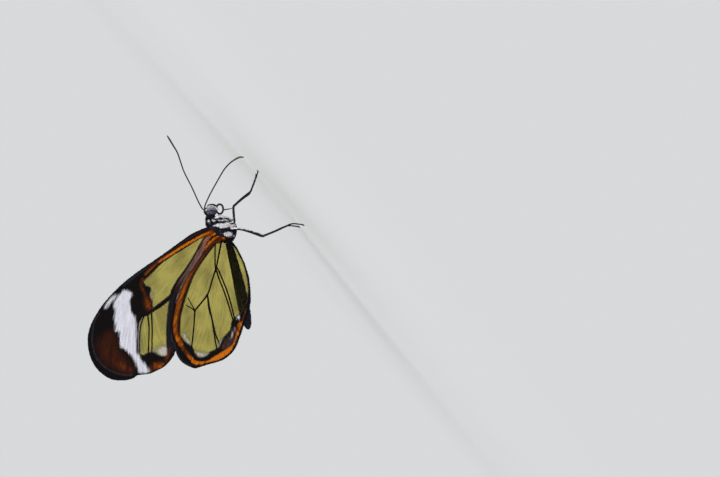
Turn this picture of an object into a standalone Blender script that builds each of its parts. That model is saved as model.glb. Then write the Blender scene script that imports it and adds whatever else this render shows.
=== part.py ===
"""Glasswing butterfly (Greta oto) standing at rest, its wings closed over its back, at life size.

Metres, +Z up. The butterfly faces +X, its right side is towards -Y, and its four feet stand at Z = 0.
Sizes are written in millimetres and turned into metres where a mesh is made.
"""
import math

import bmesh
import bpy
from mathutils import Matrix, Vector

MM = 0.001
RIGHT = -1
LEFT = 1
SIDES = (("right", RIGHT), ("left", LEFT))

CENTRING = -0.1502       # moves the whole butterfly so that its length is centred on X = 0
PART_GAP = 0.08          # room between parts that meet
PLATE = 0.5              # thickness of a wing
LEG_RADIUS = 0.25
TUBE_SIDES = 10
ANTENNA_SIDES = 8
BODY_SIDES = 20
BALL_SEGMENTS = 18
BALL_RINGS = 11
CURVE_STEPS = 3          # straight pieces between two points of a leg's, palp's or antenna's path
EDGE_STEPS = 4           # straight pieces between two points of a wing's edge
SHARP_ANGLE = math.radians(40)

# Trunk: rings along the body, each the place of its centre in X and Z, then half its width and height.
THORAX_RINGS = (
    (1.62, 11.05, 0.45, 0.50),
    (1.30, 10.80, 0.88, 0.95),
    (0.80, 10.52, 1.16, 1.45),
    (0.20, 10.22, 1.38, 1.92),
    (-0.40, 10.00, 1.50, 2.15),
    (-1.00, 9.92, 1.50, 2.15),
    (-1.60, 10.00, 1.38, 1.90),
    (-2.10, 10.10, 1.15, 1.45),
    (-2.55, 10.25, 0.80, 0.90),
    (-2.80, 10.35, 0.45, 0.50),
)
NECK_RINGS = (
    (2.62, 10.12, 0.45, 0.50),
    (2.30, 10.48, 0.62, 0.68),
    (1.92, 10.84, 0.72, 0.80),
    (1.45, 11.08, 0.76, 0.76),
    (0.95, 11.10, 0.50, 0.50),
)

# Abdomen: from the waist to the tip, with its half height at fractions of its length.
WAIST = Vector((-2.30, 0.0, 10.35))
ABDOMEN_SAG = Vector((-8.30, 0.0, 13.25))
ABDOMEN_TIP = Vector((-15.25, 0.0, 16.95))
ABDOMEN_GIRTH = ((0.0, 0.42), (0.06, 0.62), (0.22, 0.74), (0.42, 0.85), (0.58, 0.96), (0.70, 1.01),
                 (0.80, 0.99), (0.88, 0.90), (0.95, 0.72), (0.985, 0.46), (1.0, 0.18))
ABDOMEN_NARROWING = 0.82  # width over height
ABDOMEN_STEPS = 100      # fineness of the path that the stations are picked from

# Head and what it carries.
HEAD_CENTRE = Vector((2.89, 0.0, 9.64))
HEAD_RADII = (0.88, 0.92, 1.08)  # front to back, half width, crown to mouth
HEAD_PITCH = math.radians(40)
EYE_CENTRE = Vector((2.75, 0.72, 9.42))
EYE_RADII = (0.64, 0.55, 0.70)
PALP_PATH = ((2.52, -0.50, 8.80), (3.02, -0.57, 8.50), (3.50, -0.55, 8.68), (3.80, -0.46, 9.08),
             (3.86, -0.38, 9.38))
PALP_RADII = (0.25, 0.26, 0.26, 0.25, 0.18)
COIL_CENTRE = Vector((2.34, 0.0, 8.33))
COIL_RADIUS = 0.58
COIL_START = 105.0       # degrees round the coil where the tongue leaves the face
COIL_TURN = 280.0
COIL_STEPS = 14
TONGUE_RADIUS = 0.25
TONGUE_END_STEPS = 2
TONGUE_END = ((1.95, 0.66, 8.20), (1.60, 0.70, 7.60), (1.28, 0.74, 7.05), (1.06, 0.76, 6.62))

ANTENNA_RADIUS = 0.25
CLUB_RADIUS = 0.29
CLUB_SHARE = 0.20        # part of the antenna's length that is club
RIGHT_ANTENNA = ((3.10, -0.30, 10.20), (3.88, -0.50, 9.98), (4.62, -1.30, 8.66), (5.16, -2.30, 7.37),
                 (5.79, -3.50, 5.67), (6.35, -4.60, 4.06), (6.55, -5.40, 2.86), (6.50, -6.00, 1.86),
                 (6.28, -6.50, 0.92), (5.85, -6.85, 0.44))
LEFT_ANTENNA = ((3.20, 0.28, 10.00), (3.78, 0.35, 10.24), (5.27, 0.60, 10.21), (6.81, 0.80, 9.76),
                (8.35, 1.00, 9.34), (10.25, 1.25, 9.00), (12.17, 1.50, 8.26), (13.55, 1.70, 7.73),
                (15.22, 1.90, 7.54), (16.70, 2.10, 7.24))

# Legs, on the right side: the path of each length from the body out to the floor.
FORELEG = ((1.35, -0.50, 9.75), (1.20, -0.62, 9.05), (0.62, -0.72, 8.38), (0.02, -0.80, 7.72),
           (-0.10, -0.84, 7.32))
WALKING_LEGS = {
    "mid": {
        "femur": ((-0.45, -0.75, 8.60), (-0.83, -1.30, 7.88), (-0.20, -1.95, 7.35), (1.13, -3.10, 6.39)),
        "tibia": ((1.13, -3.10, 6.39), (1.20, -3.85, 4.63), (1.12, -4.60, 2.91)),
        "tarsus": ((1.12, -4.60, 2.91), (1.75, -5.00, 1.75), (2.36, -5.35, 0.70), (3.06, -5.68, -0.22)),
    },
    "hind": {
        "femur": ((-1.30, -0.95, 9.00), (-2.20, -1.85, 7.88), (-3.30, -2.60, 7.05), (-5.46, -4.30, 5.76)),
        "tibia": ((-5.46, -4.30, 5.76), (-6.00, -5.05, 4.10), (-6.42, -5.95, 2.60)),
        "tarsus": ((-6.42, -5.95, 2.60), (-6.82, -6.50, 1.35), (-7.48, -6.80, 0.62), (-8.50, -7.08, -0.28)),
    },
}
KNEE_TRIM = 0.14         # taken off each side of a knee
ANKLE_TRIM = 0.06        # taken off each side of an ankle

# Wings: hinge on the body, lean back from upright, and how far out the plate stands at spans from the hinge.
FOREWING_HINGE = Vector((-0.10, 0.0, 10.95))
FOREWING_LEAN = math.radians(8.6)
FOREWING_STANDOFF = ((-0.6, 0.80), (0.5, 0.98), (1.4, 1.12), (5.0, 1.08), (15.0, 0.84), (29.0, 0.55))
HINDWING_HINGE = Vector((-1.76, 0.0, 10.71))
HINDWING_LEAN = math.radians(34.9)
HINDWING_STANDOFF = ((-0.7, 0.95), (0.2, 1.20), (1.0, 1.76), (7.0, 1.67), (21.0, 1.40))

# Wing edges: span from the hinge and chord towards the tail, from the leading edge round the tip.
FOREWING_EDGE = (
    (-0.4, -0.60), (0.4, -1.45), (1.6, -2.05), (3.4, -2.75), (8.3, -3.85), (13.0, -5.00), (16.2, -5.55),
    (19.7, -5.70), (22.7, -5.30), (24.8, -4.60), (26.4, -3.50), (27.7, -1.90), (28.5, 0.00), (28.6, 1.90),
    (28.2, 3.40), (27.1, 4.80), (26.0, 5.60), (25.1, 5.85), (23.8, 7.00), (22.6, 7.60), (21.6, 8.00),
    (20.5, 8.15), (19.4, 8.05), (18.4, 7.70), (15.2, 5.10), (10.5, 2.30), (5.0, 1.20), (1.5, 0.50),
    (-0.5, 0.40),
)
HINDWING_EDGE = (
    (-0.6, -0.20), (1.25, -1.60), (4.0, -2.95), (6.8, -4.00), (9.6, -4.60), (12.7, -4.75), (15.3, -4.45),
    (17.2, -3.70), (19.0, -2.75), (20.0, -2.00), (20.6, -1.10), (20.9, 0.00), (20.95, 1.00), (20.5, 1.80),
    (19.8, 2.90), (19.1, 4.10), (18.4, 5.00), (17.2, 5.90), (16.0, 6.35), (14.7, 6.50), (12.0, 6.65),
    (9.1, 6.75), (7.5, 6.40), (5.3, 5.60), (4.05, 4.90), (2.85, 4.10), (1.8, 3.10), (0.9, 2.40),
    (-0.3, 1.00), (-0.6, 0.40),
)

# Colour and roughness of each finish.
COLOURS = {
    "black_cuticle": ((0.012, 0.010, 0.012), 0.45),
    "grey_cuticle": ((0.045, 0.040, 0.045), 0.55),
    "body_scales": ((0.022, 0.019, 0.024), 0.80),
    "white_scales": ((0.55, 0.50, 0.53), 0.85),
    "eye": ((0.060, 0.040, 0.085), 0.20),
    "rust_wing": ((0.12, 0.055, 0.018), 0.60),
    "clear_wing": ((0.28, 0.25, 0.10), 0.30),
}


def clear_scene():
    for thing in list(bpy.data.objects):
        bpy.data.objects.remove(thing, do_unlink=True)


def finish(name):
    """Returns the named Principled finish, made once."""
    material = bpy.data.materials.get(name)
    if material:
        return material
    colour, roughness = COLOURS[name]
    material = bpy.data.materials.new(name)
    material.use_nodes = True
    shader = material.node_tree.nodes["Principled BSDF"]
    shader.inputs["Base Color"].default_value = (*colour, 1.0)
    shader.inputs["Roughness"].default_value = roughness
    shader.inputs["Metallic"].default_value = 0.0
    return material


def add_part(name, bm, material_name, parent):
    """Turns a bmesh in millimetres into a named, smooth shaded object under its parent."""
    bmesh.ops.scale(bm, vec=(MM, MM, MM), verts=bm.verts)
    bmesh.ops.recalc_face_normals(bm, faces=bm.faces)
    mesh = bpy.data.meshes.new(name)
    bm.to_mesh(mesh)
    bm.free()
    mesh.shade_smooth()
    mesh.set_sharp_from_angle(angle=SHARP_ANGLE)
    mesh.materials.append(finish(material_name))
    part = bpy.data.objects.new(name, mesh)
    bpy.context.scene.collection.objects.link(part)
    part.parent = parent
    return part


def make_cutter(cutter):
    cutter.hide_render = True
    cutter.display_type = "WIRE"
    return cutter


def cut(part, cutter):
    """Cuts a part back from the room that its neighbour needs."""
    boolean = part.modifiers.new("clear of " + cutter.name, "BOOLEAN")
    boolean.operation = "DIFFERENCE"
    boolean.solver = "EXACT"
    boolean.object = cutter


def blend(pairs, at):
    """Straight line interpolation in a rising table of (place, value)."""
    for (low, start), (high, end) in zip(pairs, pairs[1:]):
        if at <= high:
            share = max(0.0, (at - low) / (high - low))
            return start + (end - start) * share
    return pairs[-1][1]


def curve_point(before, start, end, after, share):
    """Catmull-Rom point between start and end."""
    squared = share * share
    cubed = squared * share
    return 0.5 * (
        2.0 * start
        + (end - before) * share
        + (2.0 * before - 5.0 * start + 4.0 * end - after) * squared
        + (3.0 * start - before - 3.0 * end + after) * cubed
    )


def open_curve(points, steps):
    """A smooth open path through the points."""
    points = [Vector(point) for point in points]
    padded = [2.0 * points[0] - points[1]] + points + [2.0 * points[-1] - points[-2]]
    path = []
    for index in range(len(points) - 1):
        for step in range(steps):
            path.append(curve_point(*padded[index:index + 4], step / steps))
    path.append(points[-1])
    return path


def closed_curve(points, steps):
    """A smooth closed outline through the points."""
    points = [Vector(point) for point in points]
    count = len(points)
    outline = []
    for index in range(count):
        four = [points[(index + offset) % count] for offset in (-1, 0, 1, 2)]
        for step in range(steps):
            outline.append(curve_point(*four, step / steps))
    return outline


def swept_body(path, half_widths, half_heights, sides):
    """A closed bmesh of oval rings along a path; width is measured nearest to Y."""
    bm = bmesh.new()
    rings = []
    last = len(path) - 1
    for index, centre in enumerate(path):
        ahead = (path[min(index + 1, last)] - path[max(index - 1, 0)]).normalized()
        across = Vector((0.0, 1.0, 0.0))
        across = (across - ahead * across.dot(ahead)).normalized()
        upward = ahead.cross(across)
        axes = Matrix((across * half_widths[index], upward * half_heights[index], ahead)).transposed()
        place = Matrix.Translation(centre) @ axes.to_4x4()
        made = bmesh.ops.create_circle(bm, cap_ends=False, segments=sides, radius=1.0, matrix=place)
        ring_verts = set(made["verts"])
        rings.append([edge for edge in bm.edges if edge.verts[0] in ring_verts])
    for near, far in zip(rings, rings[1:]):
        bmesh.ops.bridge_loops(bm, edges=near + far)
    bmesh.ops.holes_fill(bm, edges=rings[0] + rings[-1], sides=0)
    return bm


def head_shape(centre, radii, growth=0.0):
    """A closed ball with three radii, pitched down with the head, each radius made larger by growth."""
    bm = bmesh.new()
    sizes = [radius + growth for radius in radii]
    place = Matrix.Translation(centre) @ Matrix.Rotation(HEAD_PITCH, 4, "Y") @ Matrix.Diagonal((*sizes, 1.0))
    bmesh.ops.create_uvsphere(bm, u_segments=BALL_SEGMENTS, v_segments=BALL_RINGS, radius=1.0, matrix=place)
    return bm


def on_side(point, side):
    """A point given for the right side, which has negative Y, moved to the given side."""
    return Vector((point[0], -point[1] * side, point[2]))


def trimmed(path, start, end):
    """The path without the given lengths at its two ends."""
    for length, reverse in ((start, False), (end, True)):
        if reverse:
            path = path[::-1]
        left = length
        while left > 0.0 and len(path) > 2 and (path[1] - path[0]).length <= left:
            left -= (path[1] - path[0]).length
            path = path[1:]
        path = [path[0] + (path[1] - path[0]).normalized() * left] + path[1:]
        if reverse:
            path = path[::-1]
    return path


def ring_body(rings, growth=0.0):
    path = [Vector((ring[0], 0.0, ring[1])) for ring in rings]
    widths = [ring[2] + growth for ring in rings]
    heights = [ring[3] + growth for ring in rings]
    return swept_body(path, widths, heights, BODY_SIDES)


def longer(rings, growth):
    """The same rings with both end rings pushed out along the body."""
    first, *middle, last = rings
    return ((first[0] + growth, *first[1:]), *middle, (last[0] - growth, *last[1:]))


def make_thorax(parent):
    add_part("thorax", ring_body(THORAX_RINGS), "body_scales", parent)
    room = add_part("thorax_room", ring_body(longer(THORAX_RINGS, PART_GAP), PART_GAP), "body_scales", parent)
    return make_cutter(room)


def make_neck(parent, head_room, thorax_room):
    neck = add_part("prothorax", ring_body(NECK_RINGS), "body_scales", parent)
    cut(neck, head_room)
    cut(neck, thorax_room)


def make_abdomen(parent, thorax_room):
    path = open_curve((WAIST, ABDOMEN_SAG, ABDOMEN_TIP), ABDOMEN_STEPS)
    stations = [path[round(share * (len(path) - 1))] for share, _ in ABDOMEN_GIRTH]
    heights = [half for _, half in ABDOMEN_GIRTH]
    widths = [half * ABDOMEN_NARROWING for half in heights]
    abdomen = add_part("abdomen", swept_body(stations, widths, heights, BODY_SIDES), "body_scales", parent)
    cut(abdomen, thorax_room)


def make_head(parent):
    head = add_part("head", head_shape(HEAD_CENTRE, HEAD_RADII), "body_scales", parent)
    for side_name, side in SIDES:
        centre = Vector((EYE_CENTRE.x, EYE_CENTRE.y * side, EYE_CENTRE.z))
        add_part("eye_" + side_name, head_shape(centre, EYE_RADII), "eye", parent)
        room = add_part("eye_room_" + side_name, head_shape(centre, EYE_RADII, PART_GAP), "eye", parent)
        cut(head, make_cutter(room))
    head_room = head_shape(HEAD_CENTRE, HEAD_RADII, PART_GAP)
    return make_cutter(add_part("head_room", head_room, "body_scales", parent))


def make_palps(parent, head_room):
    for side_name, side in SIDES:
        path = open_curve([on_side(point, side) for point in PALP_PATH], CURVE_STEPS)
        table = [(index * CURVE_STEPS, radius) for index, radius in enumerate(PALP_RADII)]
        radii = [blend(table, index) for index in range(len(path))]
        tube = swept_body(path, radii, radii, TUBE_SIDES)
        palp = add_part("palp_" + side_name, tube, "white_scales", parent)
        cut(palp, head_room)


def make_proboscis(parent, head_room):
    """The tongue: one open turn under the face, and its loose end, which passes beside the turn."""
    turn = []
    for step in range(COIL_STEPS + 1):
        angle = math.radians(COIL_START + COIL_TURN * step / COIL_STEPS)
        turn.append(COIL_CENTRE + Vector((math.cos(angle), 0.0, math.sin(angle))) * COIL_RADIUS)
    for name, path in (("proboscis", turn), ("proboscis_tip", open_curve(TONGUE_END, TONGUE_END_STEPS))):
        radii = [TONGUE_RADIUS] * len(path)
        length = add_part(name, swept_body(path, radii, radii, TUBE_SIDES), "black_cuticle", parent)
        cut(length, head_room)


def make_antenna(parent, name, points, head_room):
    path = open_curve(points, CURVE_STEPS)
    last = len(path) - 1
    radii = []
    for index in range(last + 1):
        beyond = (index / last - (1.0 - CLUB_SHARE)) / CLUB_SHARE
        swell = math.sin(math.pi * min(max(beyond, 0.0), 1.0))
        radii.append(ANTENNA_RADIUS + (CLUB_RADIUS - ANTENNA_RADIUS) * swell)
    antenna = add_part(name, swept_body(path, radii, radii, ANTENNA_SIDES), "black_cuticle", parent)
    cut(antenna, head_room)


def make_foreleg(parent, side_name, side, thorax_room):
    """The reduced first leg, folded against the breast."""
    path = open_curve([on_side(point, side) for point in FORELEG], CURVE_STEPS)
    radii = [LEG_RADIUS] * len(path)
    tube = swept_body(path, radii, radii, TUBE_SIDES)
    foreleg = add_part("foreleg_" + side_name, tube, "grey_cuticle", parent)
    cut(foreleg, thorax_room)


def cut_flat_at_floor(bm):
    """Takes away what is below the floor and leaves a small flat sole."""
    geometry = bm.verts[:] + bm.edges[:] + bm.faces[:]
    bmesh.ops.bisect_plane(bm, geom=geometry, plane_co=(0, 0, 0), plane_no=(0, 0, -1), clear_outer=True)
    open_edges = [edge for edge in bm.edges if edge.is_boundary]
    bmesh.ops.holes_fill(bm, edges=open_edges, sides=0)


def make_walking_leg(parent, pair, side_name, side, thorax_room):
    """Thigh, shin and foot of one leg, with a small gap at the knee and the ankle."""
    lengths = WALKING_LEGS[pair]
    trims = {"femur": (0.0, KNEE_TRIM), "tibia": (KNEE_TRIM, ANKLE_TRIM), "tarsus": (ANKLE_TRIM, 0.0)}
    for segment, points in lengths.items():
        path = open_curve([on_side(point, side) for point in points], CURVE_STEPS)
        path = trimmed(path, *trims[segment])
        radii = [LEG_RADIUS] * len(path)
        bm = swept_body(path, radii, radii, TUBE_SIDES)
        if segment == "tarsus":
            cut_flat_at_floor(bm)
        leg_part = add_part(f"{pair}_{segment}_{side_name}", bm, "black_cuticle", parent)
        if segment == "femur":
            cut(leg_part, thorax_room)


def make_wing(name, edge, standoff, hinge, lean, side, material_name, parent, thorax_room):
    """A plate cut to the wing's outline and bent along its ribs, in the wing's own span and chord axes."""
    bm = bmesh.new()
    outline = closed_curve([(span, chord, 0.0) for span, chord in edge], EDGE_STEPS)
    bm.faces.new([bm.verts.new(point) for point in outline])
    for span, _ in standoff[1:-1]:
        geometry = bm.verts[:] + bm.edges[:] + bm.faces[:]
        bmesh.ops.bisect_plane(bm, geom=geometry, plane_co=(span, 0, 0), plane_no=(1, 0, 0))
    for vert in bm.verts:
        vert.co.z = -side * (blend(standoff, vert.co.x) - PLATE / 2)
    made = bmesh.ops.extrude_face_region(bm, geom=bm.faces[:])
    raised = [item for item in made["geom"] if isinstance(item, bmesh.types.BMVert)]
    bmesh.ops.translate(bm, vec=(0, 0, -side * PLATE), verts=raised)
    wing = add_part(name, bm, material_name, parent)
    wing.location = hinge * MM
    wing.rotation_euler = (math.radians(90), -(math.radians(90) + lean), 0.0)
    cut(wing, thorax_room)


def make_wings(parent, thorax_room):
    for side_name, side in SIDES:
        make_wing("forewing_" + side_name, FOREWING_EDGE, FOREWING_STANDOFF, FOREWING_HINGE,
                  FOREWING_LEAN, side, "clear_wing", parent, thorax_room)
        make_wing("hindwing_" + side_name, HINDWING_EDGE, HINDWING_STANDOFF, HINDWING_HINGE,
                  HINDWING_LEAN, side, "rust_wing", parent, thorax_room)


def build():
    clear_scene()
    stand = bpy.data.objects.new("butterfly_frame", None)
    stand.location.x = CENTRING * MM
    bpy.context.scene.collection.objects.link(stand)
    thorax_room = make_thorax(stand)
    head_room = make_head(stand)
    make_neck(stand, head_room, thorax_room)
    make_abdomen(stand, thorax_room)
    make_palps(stand, head_room)
    make_proboscis(stand, head_room)
    make_antenna(stand, "antenna_right", RIGHT_ANTENNA, head_room)
    make_antenna(stand, "antenna_left", LEFT_ANTENNA, head_room)
    for side_name, side in SIDES:
        make_foreleg(stand, side_name, side, thorax_room)
        for pair in WALKING_LEGS:
            make_walking_leg(stand, pair, side_name, side, thorax_room)
    make_wings(stand, thorax_room)


build()
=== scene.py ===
"""Looks of the glasswing butterfly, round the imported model: skin, scales, eyes, feelers, legs and wings.

Pieces are built in millimetres from the butterfly's own middle (X ahead, Y to its left, Z up from the floor),
then carried into the frame, which is in metres.
"""

import math

import bmesh
import bpy
import numpy as np
from mathutils import Matrix, Vector


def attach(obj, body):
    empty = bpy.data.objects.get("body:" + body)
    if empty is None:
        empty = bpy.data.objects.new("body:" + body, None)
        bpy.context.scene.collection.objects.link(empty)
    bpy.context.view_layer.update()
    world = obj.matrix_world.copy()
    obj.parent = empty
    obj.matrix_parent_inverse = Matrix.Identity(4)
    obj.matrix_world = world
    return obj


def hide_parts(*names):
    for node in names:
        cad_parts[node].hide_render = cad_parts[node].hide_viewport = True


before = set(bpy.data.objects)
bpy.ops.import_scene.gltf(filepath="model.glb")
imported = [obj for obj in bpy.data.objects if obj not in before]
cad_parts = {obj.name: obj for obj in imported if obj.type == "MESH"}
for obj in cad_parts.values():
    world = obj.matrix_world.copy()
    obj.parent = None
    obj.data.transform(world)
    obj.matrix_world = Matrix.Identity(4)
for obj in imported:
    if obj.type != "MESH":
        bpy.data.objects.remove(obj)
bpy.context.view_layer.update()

# The room: a pale matt floor that fades into pale air, so that no edge of it shows, and three soft lamps.
# The camera looks at the right side from just above the floor, rolled as the photograph is.
FLOOR_SIZE = 3.0
FLOOR_FADE = (0.03, 0.15)       # distances over which the floor turns into air
FLOOR_COLOUR = (0.56, 0.563, 0.566)
FLOOR_SHADE = 0.98              # brightness of the grain's dark spots
FLOOR_GRAIN = 60.0
FLOOR_ROUGHNESS = 0.9
AIR_COLOUR = (0.80, 0.81, 0.82)
AIR_STRENGTH = 0.86
CAMERA_PLACE = (-0.00425, -0.317, 0.016)
CAMERA_LENS = 100.0
CAMERA_DIP = math.radians(3.935)
CAMERA_TURN = math.radians(2.085)
CAMERA_ROLL = math.radians(130.006)
LAMPS = {                       # place, width, watts
    "key": ((0.44, -0.44, 0.34), 0.40, 2.5),
    "fill": ((-0.30, -0.52, 0.40), 0.52, 1.8),
    "back": ((-0.04, 0.56, 0.44), 0.50, 1.5),
}
LAMP_AIM = Vector((0.0, 0.0, 0.016))


class Socket:
    """A node's output. Sums and products of sockets and numbers add Math nodes."""

    def __init__(self, tree, link=None):
        self.tree = tree
        self.link = link

    def node(self, kind, settings, inputs, output=0):
        """Adds a node: its settings first, then a value or a socket for each named or numbered input."""
        made = self.tree.nodes.new(kind)
        stops = settings.pop("stops", None)
        for name, value in settings.items():
            setattr(made, name, value)
        if stops:
            ramp = made.color_ramp
            while len(ramp.elements) < len(stops):
                ramp.elements.new(0.5)
            for element, (place, colour) in zip(ramp.elements, stops):
                element.position = place
                element.color = (*colour, 1.0)
        for name, value in inputs.items():
            if isinstance(value, Socket):
                self.tree.links.new(value.link, made.inputs[name])
            else:
                made.inputs[name].default_value = value
        return Socket(self.tree, made.outputs[output])

    def maths(self, operation, *values):
        return self.node("ShaderNodeMath", {"operation": operation}, dict(enumerate(values)))

    def __add__(self, other):
        return self.maths("ADD", self, other)

    def __sub__(self, other):
        return self.maths("SUBTRACT", self, other)

    def __mul__(self, other):
        return self.maths("MULTIPLY", self, other)

    __radd__ = __add__
    __rmul__ = __mul__

    def __rsub__(self, other):
        return self.maths("SUBTRACT", other, self)

    def kept(self):
        """The value held between 0 and 1."""
        return self.node("ShaderNodeClamp", {}, {0: self})

    def ramp(self, low, high):
        """A smooth step: 0 below low, 1 above high."""
        settings = {"interpolation_type": "SMOOTHSTEP"}
        return self.node("ShaderNodeMapRange", settings, {0: self, 1: low, 2: high})

    def mixed(self, first, second):
        """The first colour where the value is 0 and the second where it is 1."""
        first, second = [value if isinstance(value, Socket) else (*value, 1.0) for value in (first, second)]
        return self.node("ShaderNodeMix", {"data_type": "RGBA"}, {0: self, 6: first, 7: second}, 2)

    def noise(self, place, scale, detail=3.0):
        """Noise about 0, from -0.5 to 0.5."""
        return self.node("ShaderNodeTexNoise", {}, {"Vector": place, "Scale": scale, "Detail": detail}) - 0.5

    def stretched(self, factors):
        return self.node("ShaderNodeVectorMath", {"operation": "MULTIPLY"}, {0: self, 1: factors})

    def place(self):
        """The point's place in the piece's own coordinates, in metres."""
        return self.node("ShaderNodeTexCoord", {}, {}, "Object")

    def mark(self, name, output="Fac"):
        """A value, or with output "Vector" a vector, that the mesh holds at its points."""
        return self.node("ShaderNodeAttribute", {"attribute_name": name}, {}, output)


def finish(name):
    """A new material, and a bare socket of its tree to build on."""
    material = bpy.data.materials.new(name)
    material.use_nodes = True
    material.node_tree.nodes.clear()
    return material, Socket(material.node_tree)


def principled(tree, base, roughness, normal=None, **plain):
    """A Principled shader; plain holds values that are the same all over."""
    inputs = {"Base Color": base, "Roughness": roughness}
    if not isinstance(base, Socket):
        inputs["Base Color"] = (*base, 1.0)
    if normal:
        inputs["Normal"] = normal
    inputs.update({key.replace("_", " "): value for key, value in plain.items()})
    return tree.node("ShaderNodeBsdfPrincipled", {}, inputs)


def raised(tree, height, distance):
    """A Bump node; distance is in metres."""
    return tree.node("ShaderNodeBump", {}, {"Strength": 1.0, "Distance": distance, "Height": height})


def closed(tree, surface):
    """Ends the tree with its output."""
    output = tree.tree.nodes.new("ShaderNodeOutputMaterial")
    tree.tree.links.new(surface.link, output.inputs[0])


floor_finish, tree = finish("pale_floor")
far = tree.node("ShaderNodeVectorMath", {"operation": "LENGTH"}, {0: tree.place()}, "Value")
grain = (tree.noise(tree.place(), FLOOR_GRAIN) + 0.5).kept()
floor_tone = grain.mixed([share * FLOOR_SHADE for share in FLOOR_COLOUR], FLOOR_COLOUR)
floor_surface = principled(tree, floor_tone, FLOOR_ROUGHNESS, Specular_IOR_Level=0.0)
air = tree.node("ShaderNodeBsdfTransparent", {}, {})
closed(tree, tree.node("ShaderNodeMixShader", {}, {0: far.ramp(*FLOOR_FADE), 1: floor_surface, 2: air}))

bm = bmesh.new()
bmesh.ops.create_grid(bm, x_segments=8, y_segments=8, size=FLOOR_SIZE / 2)
floor_mesh = bpy.data.meshes.new("floor")
bm.to_mesh(floor_mesh)
bm.free()
floor_mesh.materials.append(floor_finish)
floor = bpy.data.objects.new("floor", floor_mesh)
bpy.context.scene.collection.objects.link(floor)

world = bpy.data.worlds.new("pale_air")
world.use_nodes = True
world.node_tree.nodes["Background"].inputs["Color"].default_value = (*AIR_COLOUR, 1.0)
world.node_tree.nodes["Background"].inputs["Strength"].default_value = AIR_STRENGTH
bpy.context.scene.world = world
bpy.context.scene.view_settings.view_transform = "Standard"

for name, (place, width, watts) in LAMPS.items():
    lamp = bpy.data.lights.new(name, "AREA")
    lamp.size = width
    lamp.energy = watts
    holder = bpy.data.objects.new(name, lamp)
    holder.location = place
    holder.rotation_euler = (LAMP_AIM - Vector(place)).to_track_quat("-Z", "Y").to_euler()
    bpy.context.scene.collection.objects.link(holder)

level = Vector((math.cos(CAMERA_TURN), math.sin(CAMERA_TURN), 0.0))
sight = Vector((-math.sin(CAMERA_TURN) * math.cos(CAMERA_DIP),
                math.cos(CAMERA_TURN) * math.cos(CAMERA_DIP),
                -math.sin(CAMERA_DIP)))
upright = level.cross(sight)
image_right = math.cos(CAMERA_ROLL) * level - math.sin(CAMERA_ROLL) * upright
image_up = math.sin(CAMERA_ROLL) * level + math.cos(CAMERA_ROLL) * upright
camera_data = bpy.data.cameras.new("camera")
camera_data.lens = CAMERA_LENS
camera_data.clip_start = 0.01
camera_data.clip_end = 20.0
camera = bpy.data.objects.new("camera", camera_data)
camera_turn = Matrix((image_right, image_up, -sight)).transposed().to_4x4()
camera.matrix_world = Matrix.Translation(CAMERA_PLACE) @ camera_turn
bpy.context.scene.collection.objects.link(camera)
bpy.context.scene.camera = camera

# The trunk: head, palps, neck, thorax and abdomen, of dark horn, under one skin without a seam.
# Closed shapes are run together by a voxel remesh, then the rings of the abdomen and the plates of
# the thorax are pressed in. The skin lies inside the solids by the depth of the scales and hair.
MM = 0.001
AHEAD = -0.1502                 # carries the butterfly's own middle to the middle of its length
COAT_DEPTH = 0.11               # on the thorax and neck
FINE_COAT_DEPTH = 0.07          # on the head and abdomen
VOXEL = 0.065
SMOOTHINGS = 4
THORAX_RINGS = (                # along, up, half width, half height
    (1.62, 11.05, 0.45, 0.50), (1.30, 10.80, 0.88, 0.95), (0.80, 10.52, 1.16, 1.45),
    (0.20, 10.22, 1.38, 1.92), (-0.40, 10.00, 1.50, 2.15), (-1.00, 9.92, 1.50, 2.15),
    (-1.60, 10.00, 1.38, 1.90), (-2.10, 10.10, 1.15, 1.45), (-2.55, 10.25, 0.80, 0.90),
    (-2.80, 10.35, 0.45, 0.50),
)
NECK_RINGS = (
    (2.62, 10.12, 0.45, 0.48), (2.28, 10.42, 0.60, 0.60), (1.88, 10.72, 0.70, 0.62),
    (1.42, 11.00, 0.74, 0.68), (0.95, 11.10, 0.50, 0.50),
)
ABDOMEN_PATH = ((-2.30, 0.0, 10.35), (-8.30, 0.0, 13.25), (-15.25, 0.0, 16.95))
ABDOMEN_GIRTH = ((0.0, 0.42), (0.06, 0.62), (0.22, 0.74), (0.42, 0.85), (0.58, 0.96), (0.70, 1.01),
                 (0.80, 0.99), (0.88, 0.90), (0.95, 0.72), (0.985, 0.46), (1.0, 0.18))
ABDOMEN_NARROWING = 0.82        # its breadth for each unit of height
ABDOMEN_RINGS = (0.10, 0.20, 0.32, 0.44, 0.56, 0.68, 0.79, 0.89)
RING_GROOVE = 0.045
PLATE_GROOVE = 0.06
HEAD_CENTRE = Vector((2.89, 0.0, 9.64))
HEAD_RADII = (0.88, 0.92, 1.08)
HEAD_PITCH = math.radians(40)
EYE_CENTRE = Vector((2.76, 0.72, 9.47))
EYE_RADII = (0.71, 0.57, 0.77)
PALP_PATH = ((2.40, -0.50, 8.74), (2.84, -0.58, 8.50), (3.34, -0.56, 8.72), (3.68, -0.46, 9.12),
             (3.78, -0.38, 9.42))
PALP_RADII = (0.18, 0.20, 0.18, 0.14, 0.07)
PALP_HEIGHT = 1.15              # of its breadth
THROAT = ((1.92, 0.0, 9.95), (0.44, 0.56, 0.46))        # dark, between the neck and the first pair of hips
HIPS = (((1.20, -0.52, 9.80), 0.26), ((-0.42, -0.70, 8.62), 0.36), ((-1.30, -0.85, 8.98), 0.36))
ANTENNA_SOCKETS = ((3.16, -0.30, 10.12), (3.24, 0.28, 10.00))
SOCKET_RADIUS = 0.19
TEGULA = ((0.72, -1.00, 11.08), (0.50, 0.20, 0.34))     # the scaly lobe over the forewing's hinge
SIDES = (("right", 1.0), ("left", -1.0))                # a right side point's Y is kept, or turned over


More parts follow.
